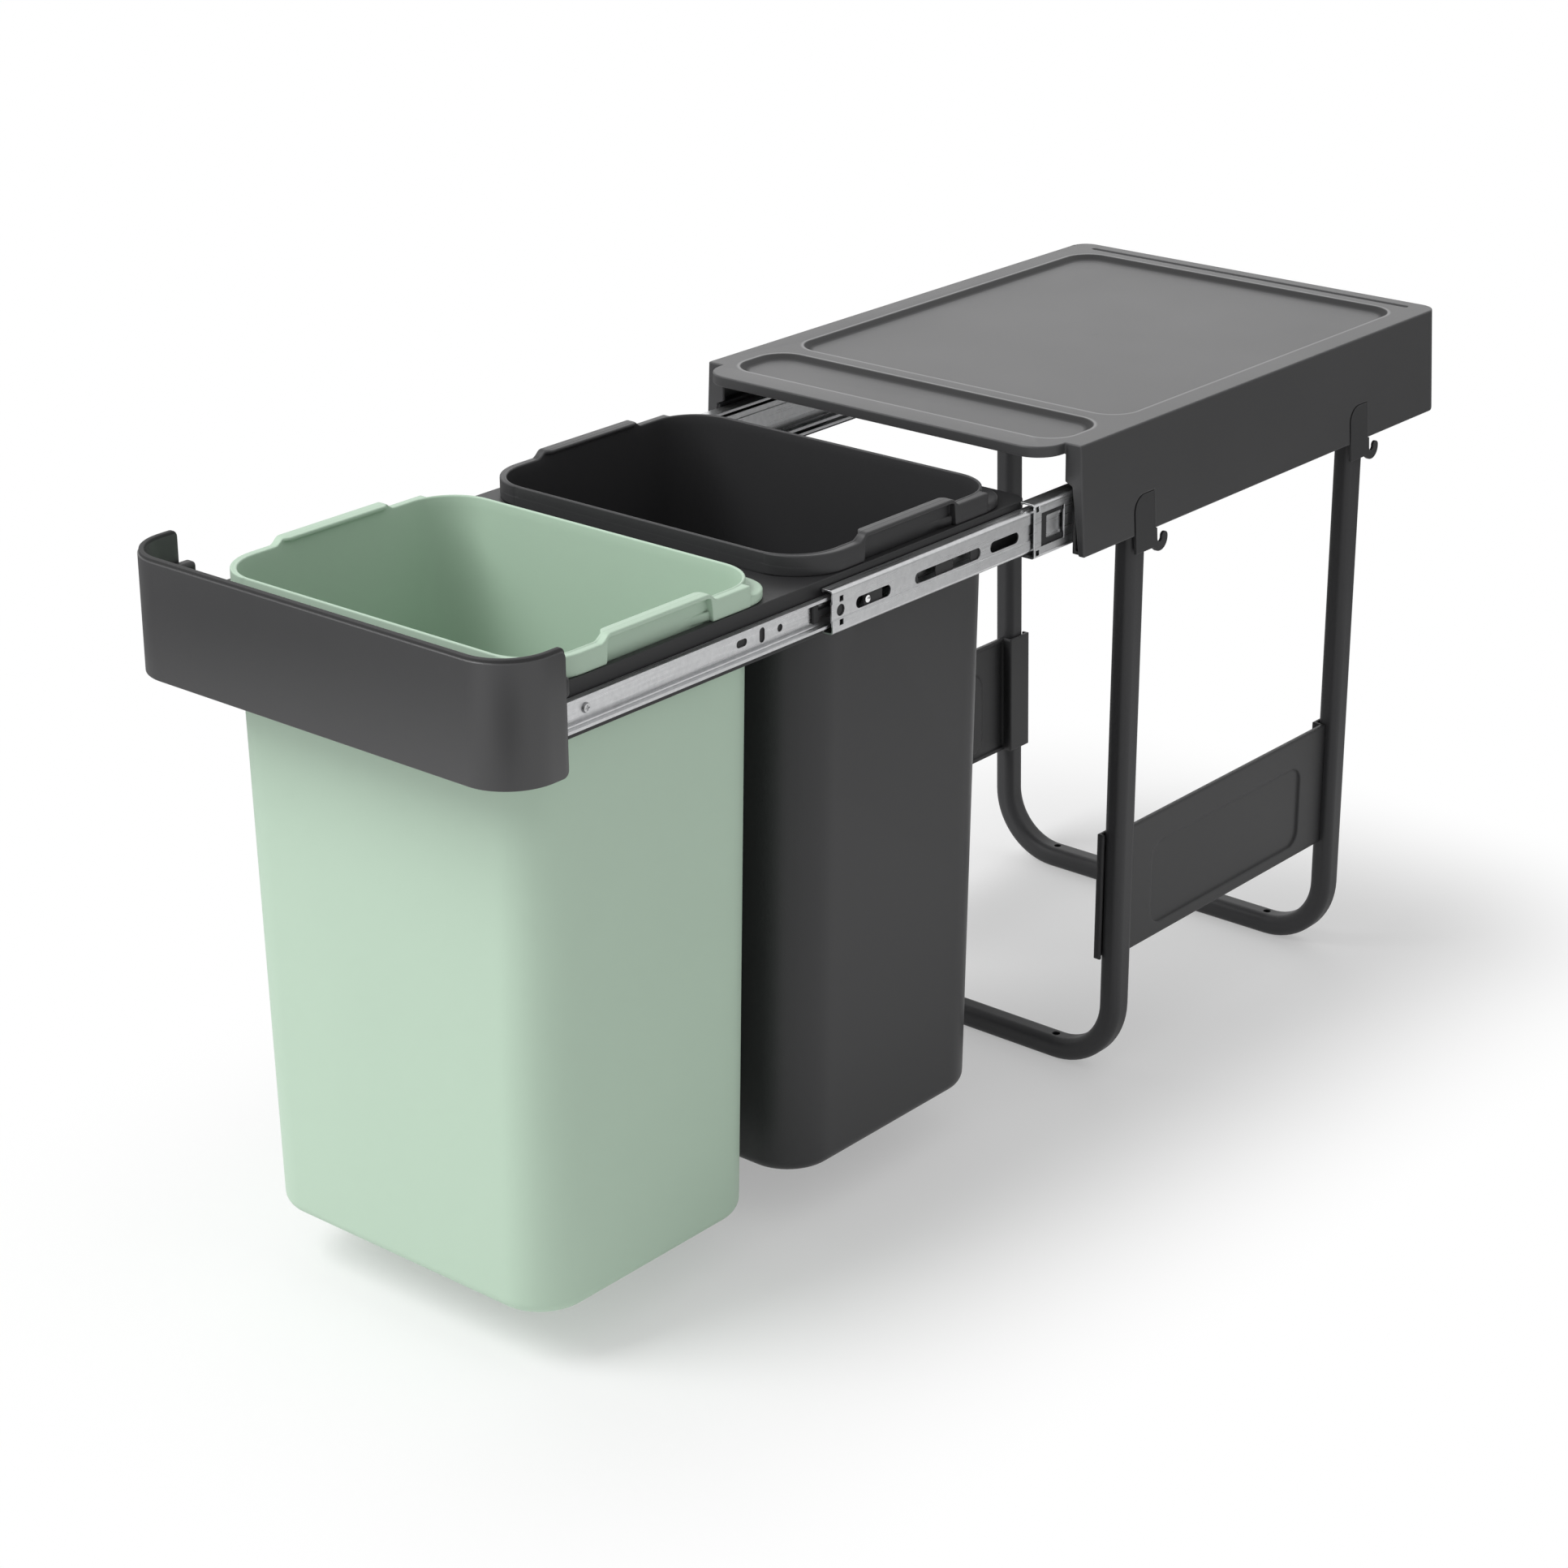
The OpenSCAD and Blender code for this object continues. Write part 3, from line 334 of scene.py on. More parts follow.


# Each finish: colour, how much it clouds, roughness and its spread, grains per metre, relief and edge
# radius in metres, the painted highlight on edges and the painted shade in hollows as factors on the
# colour, and gloss; first what most of them share
finishBase = {"cloud": 0.10, "rough": 0.42, "roughSpread": 0.04, "grain": 1700.0, "relief": 0.00006,
              "edge": 0.0008, "edgeHighlight": 1.3, "hollow": 0.5, "gloss": 0.36}
finishSetup = {
    "grey_plastic": {"tone": (0.054, 0.054, 0.0555), "cloud": 0.08, "rough": 0.38, "edge": 0.0016,
                     "edgeHighlight": 1.6, "hollow": 0.7, "lidMarks": lidSetup},
    "anthracite_plastic": {"tone": (0.034, 0.034, 0.0355)},
    "black_plastic": {"tone": (0.021, 0.021, 0.022), "rough": 0.45, "edgeHighlight": 1.35},
    # the band's lip, from its height below the band's top, is darker and dull
    "band_plastic": {"tone": (0.041, 0.041, 0.0425), "cloud": 0.08, "rough": 0.30, "relief": 0.00004,
                     "edgeHighlight": 1.5, "gloss": 0.6, "lipTone": (0.012, 0.012, 0.0125), "lipFrom": 0.0023,
                     "lipRough": 0.7},
    "panel_plastic": {"tone": (0.027, 0.027, 0.0283), "edge": 0.0035, "edgeHighlight": 1.4, "hollow": 0.45},
    "green_plastic": {"tone": (0.485, 0.63, 0.505), "cloud": 0.03, "rough": 0.48, "relief": 0.00004,
                      "edgeHighlight": 1.04, "hollow": 0.8, "gloss": 0.4},
    "black_paint": {"tone": (0.028, 0.028, 0.030), "cloud": 0.12, "rough": 0.5, "grain": 900.0,
                    "relief": 0.00010, "edge": 0.0007, "gloss": 0.45},
}


def mouldedFinish(name, setup):
    material, bench, shader = newMaterial(name)
    shader.inputs["Specular IOR Level"].default_value = setup["gloss"]
    grain = bench.place(grainGroup, {"Grain Scale": setup["grain"]})
    edge = bench.place(edgeGroup, {"Radius": setup["edge"]})
    tone, cloud, rough, spread = (setup[k] for k in ("tone", "cloud", "rough", "roughSpread"))
    body = bench.mixTone(grain["Cloud"], scaled(tone, 1 - cloud), scaled(tone, 1 + cloud))
    dull = bench.ramp(grain["Cloud"], toMin=rough - spread, toMax=rough + spread)
    if "lidMarks" in setup:
        lid = setup["lidMarks"]
        marks = bench.place(lidMarksGroup(lid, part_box("top_cover")[1].z))
        # the lips take a painted highlight and the slopes a painted shade; the fields and the gate mark
        # take their own tones
        for mask in ("Field", "Slope", "Lip", "Gate"):
            body = bench.mixTone(marks[mask], body, scaled(lid[mask.lower() + "Tone"]))
        dull = bench.mixValue(marks["Slope"], dull, lid["slopeRough"])
    if "lipTone" in setup:
        height = bench.add("SeparateXYZ", {0: bench.objectPoint()}).outputs["Z"]
        lip = bench.maths("GREATER_THAN", height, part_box("front_band")[1].z - setup["lipFrom"])
        body = bench.mixTone(lip, body, scaled(setup["lipTone"]))
        dull = bench.mixValue(lip, dull, setup["lipRough"])
    # painted highlight along the rounded edges, then painted shade in the hollows, both mixed into the
    # colour
    edgeHighlit = bench.mixTone(edge["Edge"], body, scaled(tone, setup["edgeHighlight"]))
    hollowShaded = bench.mixTone(edge["HollowShade"], edgeHighlit, scaled(tone, setup["hollow"]))
    bump = bench.add("Bump", {"Height": grain["Relief"], "Distance": setup["relief"],
                              "Normal": edge["Normal"]}).outputs[0]
    bench.linkAll({"Base Color": hollowShaded, "Roughness": dull, "Normal": bump}, shader.inputs)
    return material


# The streaks between the two noise values run from the low to the high roughness; lengths in metres
zincSetup = {"dark": (0.50, 0.505, 0.515), "pale": (0.70, 0.705, 0.71), "streaks": (0.3, 0.7),
             "roughLow": 0.24, "roughHigh": 0.42, "relief": 0.00002, "edge": 0.0005}


def zincFinish(name, setup):
    material, bench, shader = newMaterial(name)
    shader.inputs["Metallic"].default_value = 1.0
    zinc = bench.place(zincGroup)
    edge = bench.place(edgeGroup, {"Radius": setup["edge"]})
    bump = bench.add("Bump", {"Height": zinc["Streak"], "Distance": setup["relief"],
                              "Normal": edge["Normal"]}).outputs[0]
    bench.linkAll({
        "Base Color": bench.mixTone(zinc["Mottle"], scaled(setup["dark"]), scaled(setup["pale"])),
        "Roughness": bench.ramp(zinc["Streak"], *setup["streaks"], setup["roughLow"], setup["roughHigh"]),
        "Normal": bump,
    }, shader.inputs)
    return material


ballSetup = {"dark": (0.74, 0.74, 0.75), "pale": (0.88, 0.88, 0.88), "roughLow": 0.08, "roughHigh": 0.2}


# Polished balls: bright steel with faint running marks
def ballFinish(name, setup):
    material, bench, shader = newMaterial(name)
    shader.inputs["Metallic"].default_value = 1.0
    zinc = bench.place(zincGroup)
    bench.linkAll({
        "Base Color": bench.mixTone(zinc["Mottle"], scaled(setup["dark"]), scaled(setup["pale"])),
        "Roughness": bench.ramp(zinc["Mottle"], toMin=setup["roughLow"], toMax=setup["roughHigh"]),
    }, shader.inputs)
    return material


finishes = {slot: mouldedFinish(slot + "_look", {**finishBase, **own}) for slot, own in finishSetup.items()}
finishes["zinc_steel"] = zincFinish("zinc_steel_look", zincSetup)
finishes["ball_steel"] = ballFinish("ball_steel_look", ballSetup)
print("waste bin unit:", len(finishes), "finishes mixed")

# Every solid of the frame takes the finish of its slot in the record; the side panels have their own
slotOf = {row["node"]: row["material_slot"] for row in frame["record"]["subparts"]}
for label, solid in nodes.items():
    solid.data.materials.clear()
    look = "panel_plastic" if label.startswith("side_panel") else slotOf[label]
    solid.data.materials.append(finishes[look])

# Moulded, pressed and painted edges are broken on the solids themselves: the loose triangles are
# welded, flat ones joined, and edges sharper than the angle rounded. Widths in metres. The middle slide
# members are left out, because rounding draws a line along their shallow web. The rounding of the held
# ones stops where it would overlap
roundingSetup = {
    "weld": 0.00001,
    "flatDegrees": 0.6,
    "sharpDegrees": 38.0,
    "steps": 2,
    "widths": {
        "top_cover": 0.0008, "carriage_frame": 0.0006, "side_panel": 0.0005, "leg_clip": 0.0004,
        "slide_outer": 0.00016, "slide_inner": 0.00016,
        "release_lever": 0.0003, "front_leg_frame": 0.0003, "rear_leg_frame": 0.0003,
        "cover_screws": 0.00012, "carriage_screws": 0.00012, "band_screws": 0.00012,
    },
    "held": ("side_panel", "release_lever", "front_leg_frame", "rear_leg_frame"),
}


def roundEdges(solid, width, setup, hold):
    weld = solid.modifiers.new("weld", "WELD")
    weld.merge_threshold = setup["weld"]
    flat = solid.modifiers.new("flat", "DECIMATE")
    flat.decimate_type = "DISSOLVE"
    flat.angle_limit = math.radians(setup["flatDegrees"])
    edge = solid.modifiers.new("edge", "BEVEL")
    edge.width, edge.segments, edge.limit_method = width, setup["steps"], "ANGLE"
    edge.angle_limit = math.radians(setup["sharpDegrees"])
    edge.use_clamp_overlap = hold
    even = solid.modifiers.new("even", "WEIGHTED_NORMAL")
    even.keep_sharp = False


for label, solid in nodes.items():
    for start, width in roundingSetup["widths"].items():
        if label.startswith(start):
            roundEdges(solid, width, roundingSetup, start in roundingSetup["held"])
print("waste bin unit: edges of the solids rounded")


# The same grid on the other side of the middle plane when side is -1
def mirrored(grid, side):
    return grid * np.array([side, 1.0, 1.0])


# Corner signs and unit arc of a rectangle with round corners, one entry per point round it.
# Each quarter runs from the +first side to the +second side, anticlockwise
def cornerWalk(steps):
    turn = np.linspace(0, math.pi / 2, steps + 1)
    angle = np.concatenate([turn + k * math.pi / 2 for k in range(4)])
    signs = np.repeat(np.array([[1, 1], [-1, 1], [-1, -1], [1, -1]], float), steps + 1, axis=0)
    return signs, np.stack([np.cos(angle), np.sin(angle)], axis=1)


# Points (rows, around, 2) of round-cornered rectangles: corner centre plus radius times the arc
def roundedRings(half, radius, steps):
    signs, arc = cornerWalk(steps)
    half, radius = np.asarray(half, float), np.asarray(radius, float)[:, None, None]
    return signs[None] * (half[:, None, :] - radius) + radius * arc[None]


# Points (rows, around, 2) of circles, each row's radius times the unit circle
def circleRings(radius, around):
    turn = np.linspace(0, 2 * math.pi, around, endpoint=False)
    return radius[:, None, None] * np.stack([np.cos(turn), np.sin(turn)], 1)[None]


# An arc as (distance in from the outer side, height) between two angles in degrees
def arcPoints(centre, radius, start, end, steps):
    angle = np.radians(np.linspace(start, end, steps + 1))
    return np.stack([centre[0] + radius * np.cos(angle), centre[1] + radius * np.sin(angle)], axis=1)


# Quads between neighbouring rings of a (rows, around, 3) grid, closed round, with a flat cap at each end
def ringFaces(rows, around):
    row, col = np.meshgrid(np.arange(rows - 1), np.arange(around), indexing="ij")
    after = (col + 1) % around
    quads = np.stack([row * around + col, row * around + after,
                      (row + 1) * around + after, (row + 1) * around + col], axis=-1).reshape(-1, 4)
    caps = [list(range(around - 1, -1, -1)), list(range((rows - 1) * around, rows * around))]
    return quads.tolist() + caps


meshSetup = {"mergeWithin": 1e-6, "smoothDegrees": 38.0}


# One object from several ring grids: doubles merged, normals turned outwards, smooth but for sharp turns
def pieceFromGrids(name, grids, finish, setup=meshSetup):
    points, faces, start = [], [], 0
    for grid in grids:
        rows, around = grid.shape[:2]
        faces += [[start + i for i in face] for face in ringFaces(rows, around)]
        points.append(grid.reshape(-1, 3))
        start += rows * around
    mesh = bpy.data.meshes.new(name)
    mesh.from_pydata(np.concatenate(points).tolist(), [], faces)
    work = bmesh.new()
    work.from_mesh(mesh)
    bmesh.ops.remove_doubles(work, verts=work.verts, dist=setup["mergeWithin"])
    bmesh.ops.recalc_face_normals(work, faces=work.faces)
    work.to_mesh(mesh)
    work.free()
    mesh.polygons.foreach_set("use_smooth", np.ones(len(mesh.polygons), bool))
    mesh.set_sharp_from_angle(angle=math.radians(setup["smoothDegrees"]))
    mesh.materials.append(finish)
    return newObject(name, mesh)


# Bins: both are one moulding; lengths in metres, heights above the bin's own floor. The flange the bin
# hangs by is the seat. Foot shares are the ends of smooth steps, in lengths of a grip's foot from its
# inner end
binSetup = {
    "rimW": 0.286, "rimD": 0.2136, "leanW": 0.0116, "leanD": 0.002, "height": 0.4506,
    "wall": 0.0022, "corner": 0.036, "floorEdge": 0.009, "cornerSteps": 14, "curveSteps": 8, "seatSteps": 3,
    "seatDrop": 0.0145, "seatThick": 0.0065, "seatOut": 0.0048, "seatRound": 0.001,
    "seatRearCorner": 0.026, "seatFrontCorner": 0.038, "seatFoot": (0.95, 0.6),
    "gripRise": 0.0046, "gripHalf": 0.044, "gripFoot": 0.009, "gripThick": 0.003, "gripIn": 0.0036,
    "gripUnder": (0.5, 0.3), "gripOver": (0.5, -0.3), "gripLead": 0.006, "gripTail": 0.009,
    "footTurn": 0.003, "footSteps": 25, "barWrap": 86.0, "wrapPoints": 14, "barTop": 0.0004,
    "barRound": 0.0011, "barSteps": 4, "overlap": 0.0001, "shortBar": 0.084,
    # the bar's last rows: how far before its end they lie, and how much all but the first are drawn in
    "endRows": (0.0014, 0.0006, 0.0002, 0.0), "endPull": (0.0001, 0.0004, 0.0009),
}

# Shares of a long side's straight length at which its wall has points, close at the grip's feet
sideShares = np.concatenate([
    np.linspace(-1, -0.8, 4)[1:], np.linspace(-0.77, -0.6, 12), np.linspace(-0.55, 0.55, 6),
    np.linspace(0.6, 0.77, 12), np.linspace(0.8, 1, 4)[:-1]])


# How far the rim is lifted at a distance from the grip's middle: nought, then half a cosine over the foot
def gripLift(away, setup):
    share = np.clip((setup["gripHalf"] + setup["gripFoot"] - np.abs(away)) / setup["gripFoot"], 0, 1)
    return setup["gripRise"] * (1 - np.cos(math.pi * share)) / 2


# A smooth step from nought outside a foot to one inside it, between two shares of the foot's length
def footShare(away, setup, shares):
    start, end = (setup["gripHalf"] + setup["gripFoot"] * share for share in shares)
    step = np.clip((start - np.abs(away)) / (start - end), 0, 1)
    return step * step * (3 - 2 * step)


# The wall's section as (how far in, height), once round: outside up, round the seat, over the rim and
# down the inside
def binSection(setup):
    h, wall, edge = setup["height"], setup["wall"], setup["floorEdge"]
    out, soft, steps = setup["seatOut"], setup["seatRound"], setup["curveSteps"]
    seat = h - setup["seatDrop"]
    top = seat + setup["seatThick"]
    levels = np.linspace(edge, seat - soft, steps)[1:]
    return np.concatenate([
        arcPoints((edge, edge), edge, 270, 180, steps),
        np.stack([np.zeros(len(levels)), levels], 1),
        [[-soft / 4, seat - soft / 4]],
        arcPoints((soft - out, seat + soft), soft, 270, 180, setup["seatSteps"]),
        arcPoints((soft - out, top - soft), soft, 180, 90, setup["seatSteps"]),
        [[-soft / 4, top + soft / 4], [0, top + soft]],
        arcPoints((wall / 2, h - wall / 2), wall / 2, 180, 0, steps),
        np.stack([np.full(steps, wall), np.linspace(top, edge, steps)], 1),
        arcPoints((edge, edge), edge - wall, 180, 270, steps)])


# The bin's wall: its section carried round the outline, whose half sides grow with height from the
# floor to the rim. The seat stands out along the sides and round the rear; at the front it runs into
# the wall
def binWall(setup, centreY, floorZ):
    inset, height = binSection(setup).T
    out, soft = setup["seatOut"], setup["seatRound"]
    seatTop = setup["height"] - setup["seatDrop"] + setup["seatThick"]
    # below the edge's own height the outline keeps the size it has there
    share = np.maximum(height, setup["floorEdge"]) / setup["height"]
    halfW = setup["rimW"] / 2 - setup["leanW"] * (1 - share) - inset
    halfD = setup["rimD"] / 2 - setup["leanD"] * (1 - share) - inset
    outward = np.clip(-inset / out, 0, 1)[:, None]
    inward = np.maximum(inset, 0)[:, None]
    signs, arc = cornerWalk(setup["cornerSteps"])
    rear = (signs[:, 1] > 0).astype(float)[None]
    seatCorner = setup["seatRearCorner"] * rear + setup["seatFrontCorner"] * (1 - rear)
    radius = (setup["corner"] - inward) * (1 - outward) + seatCorner * outward
    cornerX = halfW[:, None] - radius
    cornerY = halfD[:, None] - out * outward * (1 - rear) - radius
    x = signs[None, :, 0] * cornerX + radius * arc[None, :, 0]
    y = signs[None, :, 1] * cornerY + radius * arc[None, :, 1]
    # the straight sides' own points, between the rear and the front corner centres
    rearY, frontY = cornerY[:, :1], cornerY[:, -1:]
    rightY = (rearY - frontY) / 2 + (rearY + frontY) / 2 * sideShares[None]
    # the seat leaves off between the grip's feet, under the outer part of each foot
    unseated = footShare(rightY, setup, setup["seatFoot"]) * (inset[:, None] < 0)
    rightX = halfW[:, None] + inset[:, None] * unseated
    n = 2 * (setup["cornerSteps"] + 1)
    x = np.concatenate([rightX, x[:, :n], -rightX[:, ::-1], x[:, n:]], axis=1)
    y = np.concatenate([rightY, y[:, :n], rightY[:, ::-1], y[:, n:]], axis=1)
    # only the rim's rows rise with the grip, and only along the two long sides
    lifted = (height > seatTop + soft * 1.5) & (inset > -soft / 8)
    onSide = np.tile(np.repeat([1.0, 0.0], [len(sideShares), n]), 2)
    z = height[:, None] + lifted[:, None] * onSide[None] * gripLift(y, setup)
    return np.stack([x, y + centreY, z + floorZ], axis=2)


# A grip with its two bars: one rounded bar carried along the rim. It starts thin at the front corner,
# follows the corner to the side, rises over the grip's feet, where its underside leaves the seat and
# its inner side moves in over the opening, and ends on the seat before the rear corner
def binGrip(setup, centreY, floorZ, side):
    grip, out, wall, step = setup["gripHalf"], setup["seatOut"], setup["wall"], setup["footTurn"]
    foot = grip + setup["gripFoot"]
    wallX, wallY = setup["rimW"] / 2, setup["rimD"] / 2
    outR, inR = setup["seatFrontCorner"], setup["corner"] - wall / 2
    # round the front corner: outer and inner points at the same angle, from nearly front to side
    turn = np.radians(np.linspace(-setup["barWrap"], 0, setup["wrapPoints"]))
    outer = np.stack([wallX + out - outR + outR * np.cos(turn), outR - wallY + outR * np.sin(turn)], 1)
    inner = np.stack([wallX - setup["corner"] + inR * np.cos(turn),
                      setup["corner"] - wallY + inR * np.sin(turn)], 1)
    # then straight to the rear
    end, rows, footPoints = setup["shortBar"], np.array(setup["endRows"]), setup["footSteps"] + 1
    along = np.concatenate([
        np.linspace(-foot - setup["gripLead"], -foot - step, 3),
        np.linspace(-foot - step, -grip + step, footPoints)[1:],
        np.linspace(-grip + step, grip - step, 8)[1:],
        np.linspace(grip - step, foot + step, footPoints)[1:],
        np.linspace(foot + setup["gripTail"], end - rows[0], 8), end - rows[1:]])
    under, over = (footShare(along, setup, setup[k]) for k in ("gripUnder", "gripOver"))
    # the inner side keeps to the middle of the rim, also where the rim turns into the rear corner
    past = np.clip(along - (wallY - setup["corner"]), 0, inR)
    rimX = wallX - setup["corner"] + np.sqrt(inR ** 2 - past ** 2)
    innerX = rimX * (1 - over) + (wallX - wall - setup["gripIn"]) * over
    outer = np.concatenate([outer, np.stack([np.full(len(along), wallX + out), along], 1)])
    inner = np.concatenate([inner, np.stack([innerX, along], 1)])
    under = np.concatenate([np.zeros(len(turn)), under])
    lift = np.concatenate([np.zeros(len(turn)), gripLift(along, setup)])
    # the last millimetre is drawn in on all sides, so the bar's end is round
    shrink = np.zeros(len(under))
    shrink[-len(setup["endPull"]):] = setup["endPull"]
    top = setup["height"] - setup["barTop"] * (1 - under) + lift
    seat = setup["height"] - setup["seatDrop"] - setup["overlap"]
    low = seat * (1 - under) + (top - setup["gripThick"]) * under
    across = outer - inner
    width = np.linalg.norm(across, axis=1)
    halves = np.stack([width / 2 + setup["overlap"], (top - low) / 2], axis=1) - shrink[:, None]
    ring = roundedRings(halves, np.minimum(setup["barRound"], halves[:, 0] * 0.9), setup["barSteps"])
    plan = ((outer + inner) / 2)[:, None] + across[:, None] / width[:, None, None] * ring[..., :1]
    points = np.concatenate([plan, ring[..., 1:] + ((top + low) / 2)[:, None, None]], axis=2)
    return mirrored(points, side) + np.array([0, centreY, floorZ])


def makeBin(name, node):
    low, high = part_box(node)
    centreY, floorZ = (low.y + high.y) / 2, low.z
    grids = [binWall(binSetup, centreY, floorZ)] + [binGrip(binSetup, centreY, floorZ, s) for s in (1, -1)]
    piece = pieceFromGrids(name, grids, finishes[slotOf[node]])
    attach(piece, "carriage")
    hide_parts(node)


makeBin("frontBin", "front_bin")
makeBin("rearBin", "rear_bin")
print("waste bin unit: bins moulded")

# Front band: an outer shell and a dark lip that stands a little above it, carried round the front.
# Lengths in metres; the lip is set back from the shell's face
bandSetup = {
    "lipHeight": 0.0024, "lipBack": 0.0009, "thick": 0.0042, "corner": 0.036, "cornerSteps": 28,
    "edge": 0.0007, "edgeDegrees": 75, "lipEdge": 0.0005, "edgeSteps": 3,
    "armEndRound": 0.004, "endSteps": 6,
}


# Section as (in from the face, height above the lower edge), once round: up the shell's face, over its
# edge, up and over the lip and back down the inside
def bandSection(setup, height):
    e, t, back, soft, steps = (setup[k] for k in ("edge", "thick", "lipBack", "lipEdge", "edgeSteps"))
    shell, over = height - setup["lipHeight"], 180 - setup["edgeDegrees"]
    return np.concatenate([
        arcPoints((e, e), e, 270, 180, steps), arcPoints((e, shell - e), e, 180, over, steps),
        [[back, shell - e / 6]], arcPoints((back + soft, height - soft), soft, 180, 90, steps),
        arcPoints((t - e, height - e), e, 90, 0, steps), arcPoints((t - e, e), e, 0, -90, steps)])


def makeBand(setup):
    low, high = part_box("front_band")
    section = bandSection(setup, high.z - low.z)
    r, endR, endY, frontY, halfW = setup["corner"], setup["armEndRound"], high.y, low.y, high.x
    ends = endY - endR * (1 - np.cos(np.linspace(0, math.pi / 2, setup["endSteps"] + 1)))
    arm = np.concatenate([ends, [(endY + frontY + r) / 2]])
    turn = np.linspace(0, math.pi / 2, setup["cornerSteps"] + 1)
    # plan: right arm and its corner, then the left ones, with the inward direction at each station
    place = np.concatenate([
        np.stack([np.full(len(arm), halfW), arm], 1),
        np.stack([halfW - r + r * np.cos(turn), frontY + r - r * np.sin(turn)], 1)])
    inward = np.concatenate([
        np.tile([-1.0, 0.0], (len(arm), 1)),
        np.stack([-np.cos(turn), np.sin(turn)], 1)])
    flip = np.array([-1.0, 1.0])
    place = np.concatenate([place, place[::-1] * flip])
    inward = np.concatenate([inward, inward[::-1] * flip])
    plan = place[:, None] + inward[:, None] * section[None, :, :1]
    # the arms' ends have round corners, so near them the section is lower and starts higher
    reach = np.clip(endR - (endY - place[:, 1]), 0, None)
    drop = endR - np.sqrt(np.maximum(endR ** 2 - reach ** 2, 0))
    middle = (high.z - low.z) / 2
    height = section[None, :, 1] + np.where(section[None, :, 1] > middle, -1, 1) * drop[:, None]
    grid = np.concatenate([plan, (height + low.z)[..., None]], axis=2)
    return pieceFromGrids("frontBand", [grid], finishes["band_plastic"])


band = makeBand(bandSetup)
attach(band, "carriage")
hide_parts("front_band")

# The band's four screw bosses and the two blocks inside its arms, and the tongues that reach behind
# them. Lengths and heights in metres; sizes are width, depth and height; sunk is how far a foot reaches
# into the band
fittingSetup = {
    "bossXs": (0.060, 0.118), "bossZ": 0.4579, "bossR": 0.005, "bossLen": 0.0061, "hole": 0.0021,
    "bossRound": 0.0004, "boreFloor": 0.0004, "bossSunk": 0.0002, "bossAround": 28,
    "blockSize": (0.012, 0.012, 0.010), "blockLow": 0.4759, "blockEdge": 0.0012, "blockSunk": 0.001,
    "tongueSize": (0.0085, 0.016, 0.0135), "tongueLow": 0.4762, "tongueEdge": 0.0028,
    "tongueSunk": 0.0004, "tongueRear": 0.0078, "edgeSteps": 4,
}


# A block with rounded edges: rings of a round-cornered rectangle that shrink into both faces
def softBlock(low, high, edge, steps):
    low, high = np.array(low), np.array(high)
    turn = np.linspace(0, math.pi / 2, steps + 1)
    pull = np.concatenate([edge * (1 - np.sin(turn)), (edge * (1 - np.sin(turn)))[::-1]])
    z = np.concatenate([low[2] + edge * (1 - np.cos(turn)), (high[2] - edge * (1 - np.cos(turn)))[::-1]])
    half = (high[:2] - low[:2]) / 2
    ring = roundedRings(half[None] - pull[:, None], np.maximum(edge - pull, edge * 0.1), steps)
    ring = ring + (low[:2] + half)[None, None]
    return np.concatenate([ring, np.repeat(z[:, None, None], ring.shape[1], 1)], axis=2)


# A tube stub along Y from its foot: outer wall, rounded rim, bore down to its floor
def bossStub(x, y, z, setup):
    r, hole, length, e = (setup[k] for k in ("bossR", "hole", "bossLen", "bossRound"))
    ring = circleRings(np.array([r, r, r - e, hole + e, hole, hole]), setup["bossAround"])
    depth = np.array([0, length - e, length, length, length - e, setup["boreFloor"]])
    depth = np.repeat(depth[:, None], setup["bossAround"], 1)
    return np.stack([x + ring[..., 0], y + depth, z + ring[..., 1]], axis=2)


def makeFittings(setup, thick):
    low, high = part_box("front_band")
    inner, footY = high.x - thick, low.y + thick - setup["bossSunk"]
    grids = [bossStub(s * x, footY, setup["bossZ"], setup) for x in setup["bossXs"] for s in (1, -1)]
    # the block's middle lies its own width before the arm's end, the tongue's rear end behind it
    blockY = high.y - setup["blockSize"][0] + setup["blockSize"][1] / 2
    for s in (1, -1):
        for part, rear in (("block", blockY), ("tongue", high.y + setup["tongueRear"])):
            (width, depth, tall), foot = setup[part + "Size"], setup[part + "Low"]
            start = (inner - width, rear - depth, foot)
            end = (inner + setup[part + "Sunk"], rear, foot + tall)
            solid = softBlock(start, end, setup[part + "Edge"], setup["edgeSteps"])
            grids.append(mirrored(solid, s))
    piece = pieceFromGrids("bandFittings", grids, finishes[slotOf["front_band"]])
    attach(piece, "carriage")


makeFittings(fittingSetup, bandSetup["thick"])
print("waste bin unit: front band and its fittings made")

# A bright rivet in the first slot of each middle slide member; lengths in metres. The dome is drawn to
# a share of its quarter turn, which leaves a tiny flat cap
rivetSetup = {"fromFront": 0.0365, "radius": 0.0026, "dome": 0.0008, "sunk": 0.0007, "foot": 0.0012,
              "turnShare": 0.97, "steps": 8, "around": 24}


# A low dome facing outwards: its radius shrinks with the cosine, its height grows with the sine
def makeRivets(setup):
    for side, word in ((1, "right"), (-1, "left")):
        low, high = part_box("slide_middle_" + word)
        outX, y, z = max(abs(low.x), abs(high.x)), low.y + setup["fromFront"], (low.z + high.z) / 2
        rise = np.linspace(0, math.pi / 2 * setup["turnShare"], setup["steps"])
        ring = circleRings(setup["radius"] * np.concatenate([[1.0], np.cos(rise)]), setup["around"])
        out = outX - setup["sunk"] + np.concatenate([[-setup["foot"]], setup["dome"] * np.sin(rise)])
        out = np.repeat(out[:, None], setup["around"], 1)
        grid = np.stack([out, y + ring[..., 0], z + ring[..., 1]], axis=2)
        piece = pieceFromGrids(word + "SlideRivet", [mirrored(grid, side)], finishes["ball_steel"])
        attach(piece, "middle_" + word)


makeRivets(rivetSetup)
print("waste bin unit: slide rivets set")

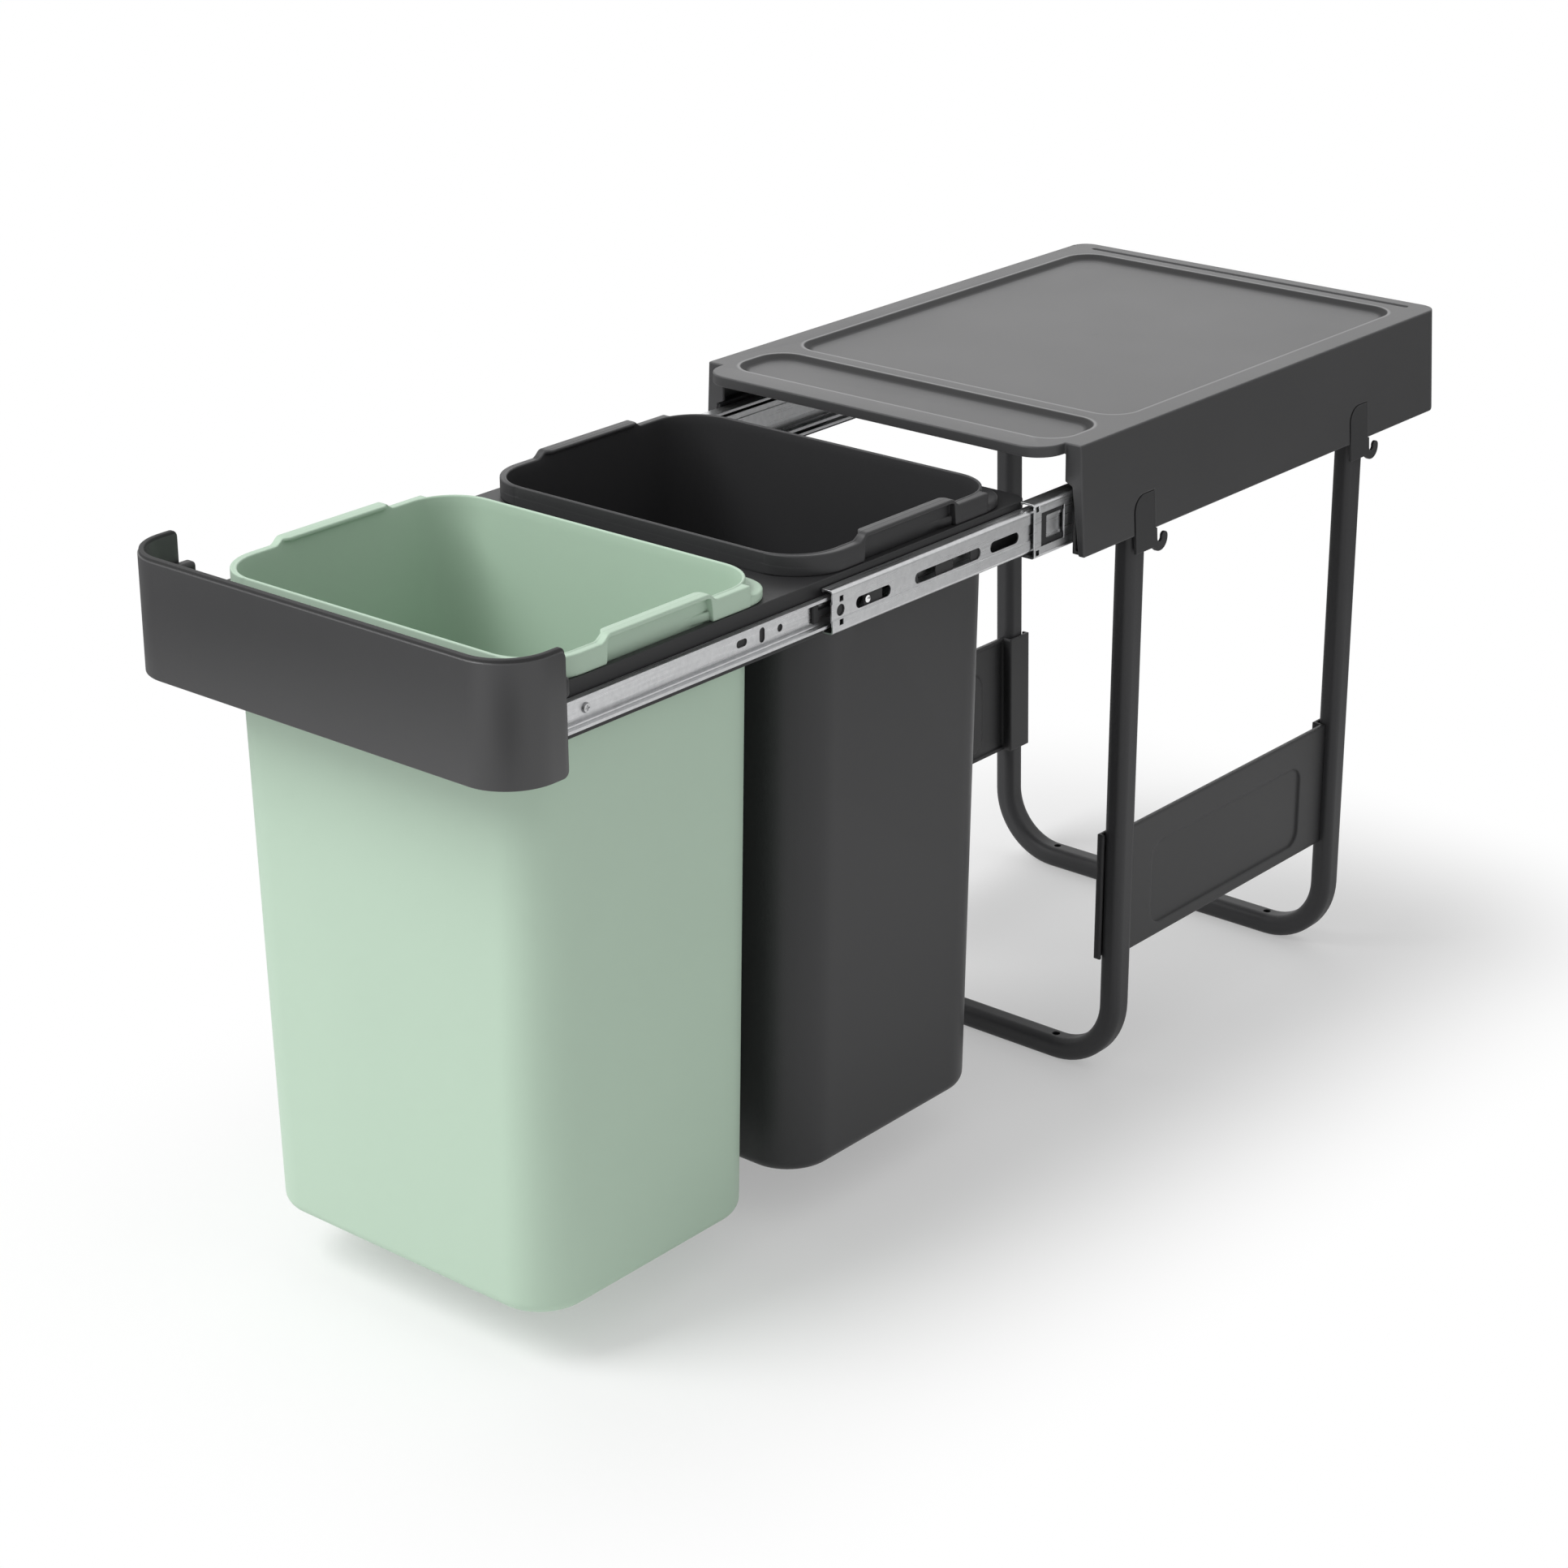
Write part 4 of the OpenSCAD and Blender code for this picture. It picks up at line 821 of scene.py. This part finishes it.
# Floor: a pale square, seen as white outside a short fade round the object's footprint; lengths in
# metres. Fades and ring are two places or distances and the shares of light at them
floorSetup = {
    "half": 6.0,
    "tone": (0.93, 0.93, 0.93),
    "rough": 0.9,
    "gloss": 0.1,
    "centre": (0.0, -0.26),
    "footprint": (0.16, 0.46),
    "whiteFrom": (0.0, 0.27, 0.35, 1.0),
    "fadeInX": (-1.25, -0.2, 0.25, 1.0),
    "fadeInY": (0.45, 0.95, 1.0, 0.25),
    "darkSpot": (1.15, -1.9),
    "spotRing": (0.35, 1.0, 0.3, 1.0),
}


def floorLook(setup):
    material, bench, shader = newMaterial("paleFloorLook")
    shader.inputs["Base Color"].default_value = setup["tone"] + (1,)
    shader.inputs["Roughness"].default_value = setup["rough"]
    shader.inputs["Specular IOR Level"].default_value = setup["gloss"]
    where = bench.objectPoint()
    away = distanceOutside(bench, where, setup["centre"], setup["footprint"])
    fade = bench.ramp(away, *setup["whiteFrom"], interpolation_type="SMOOTHSTEP")
    path = bench.add("LightPath").outputs
    seen = bench.maths("MAXIMUM", path["Is Camera Ray"], path["Is Glossy Ray"])
    # what reflections see of the floor is dimmer to the left, to the rear and beside the camera
    flat = bench.add("SeparateXYZ", {0: where}).outputs
    inX, inY = (bench.ramp(flat[axis], *setup["fadeIn" + axis]) for axis in "XY")
    fromSpot = bench.vector("DISTANCE", where, setup["darkSpot"] + (0,))
    spot = bench.ramp(fromSpot, *setup["spotRing"], interpolation_type="SMOOTHSTEP")
    dimmed = bench.maths("MULTIPLY", bench.maths("MULTIPLY", inX, inY), spot)
    level = bench.maths("MAXIMUM", path["Is Camera Ray"], dimmed)
    white = bench.add("Emission", {"Color": (1, 1, 1, 1), "Strength": level}).outputs[0]
    mixed = bench.add("MixShader", {0: bench.maths("MULTIPLY", fade, seen), 1: shader.outputs[0], 2: white})
    bench.link(mixed.outputs[0], bench.tree.nodes["Material Output"].inputs["Surface"])
    return material


def makeFloor(setup):
    h = setup["half"]
    cx, cy = setup["centre"]
    corners = [(cx - h, cy - h, 0), (cx + h, cy - h, 0), (cx + h, cy + h, 0), (cx - h, cy + h, 0)]
    mesh = bpy.data.meshes.new("paleFloor")
    mesh.from_pydata(corners, [], [(0, 1, 2, 3)])
    mesh.materials.append(floorLook(setup))
    floor = newObject("paleFloor", mesh)


makeFloor(floorSetup)
print("waste bin unit: floor laid")
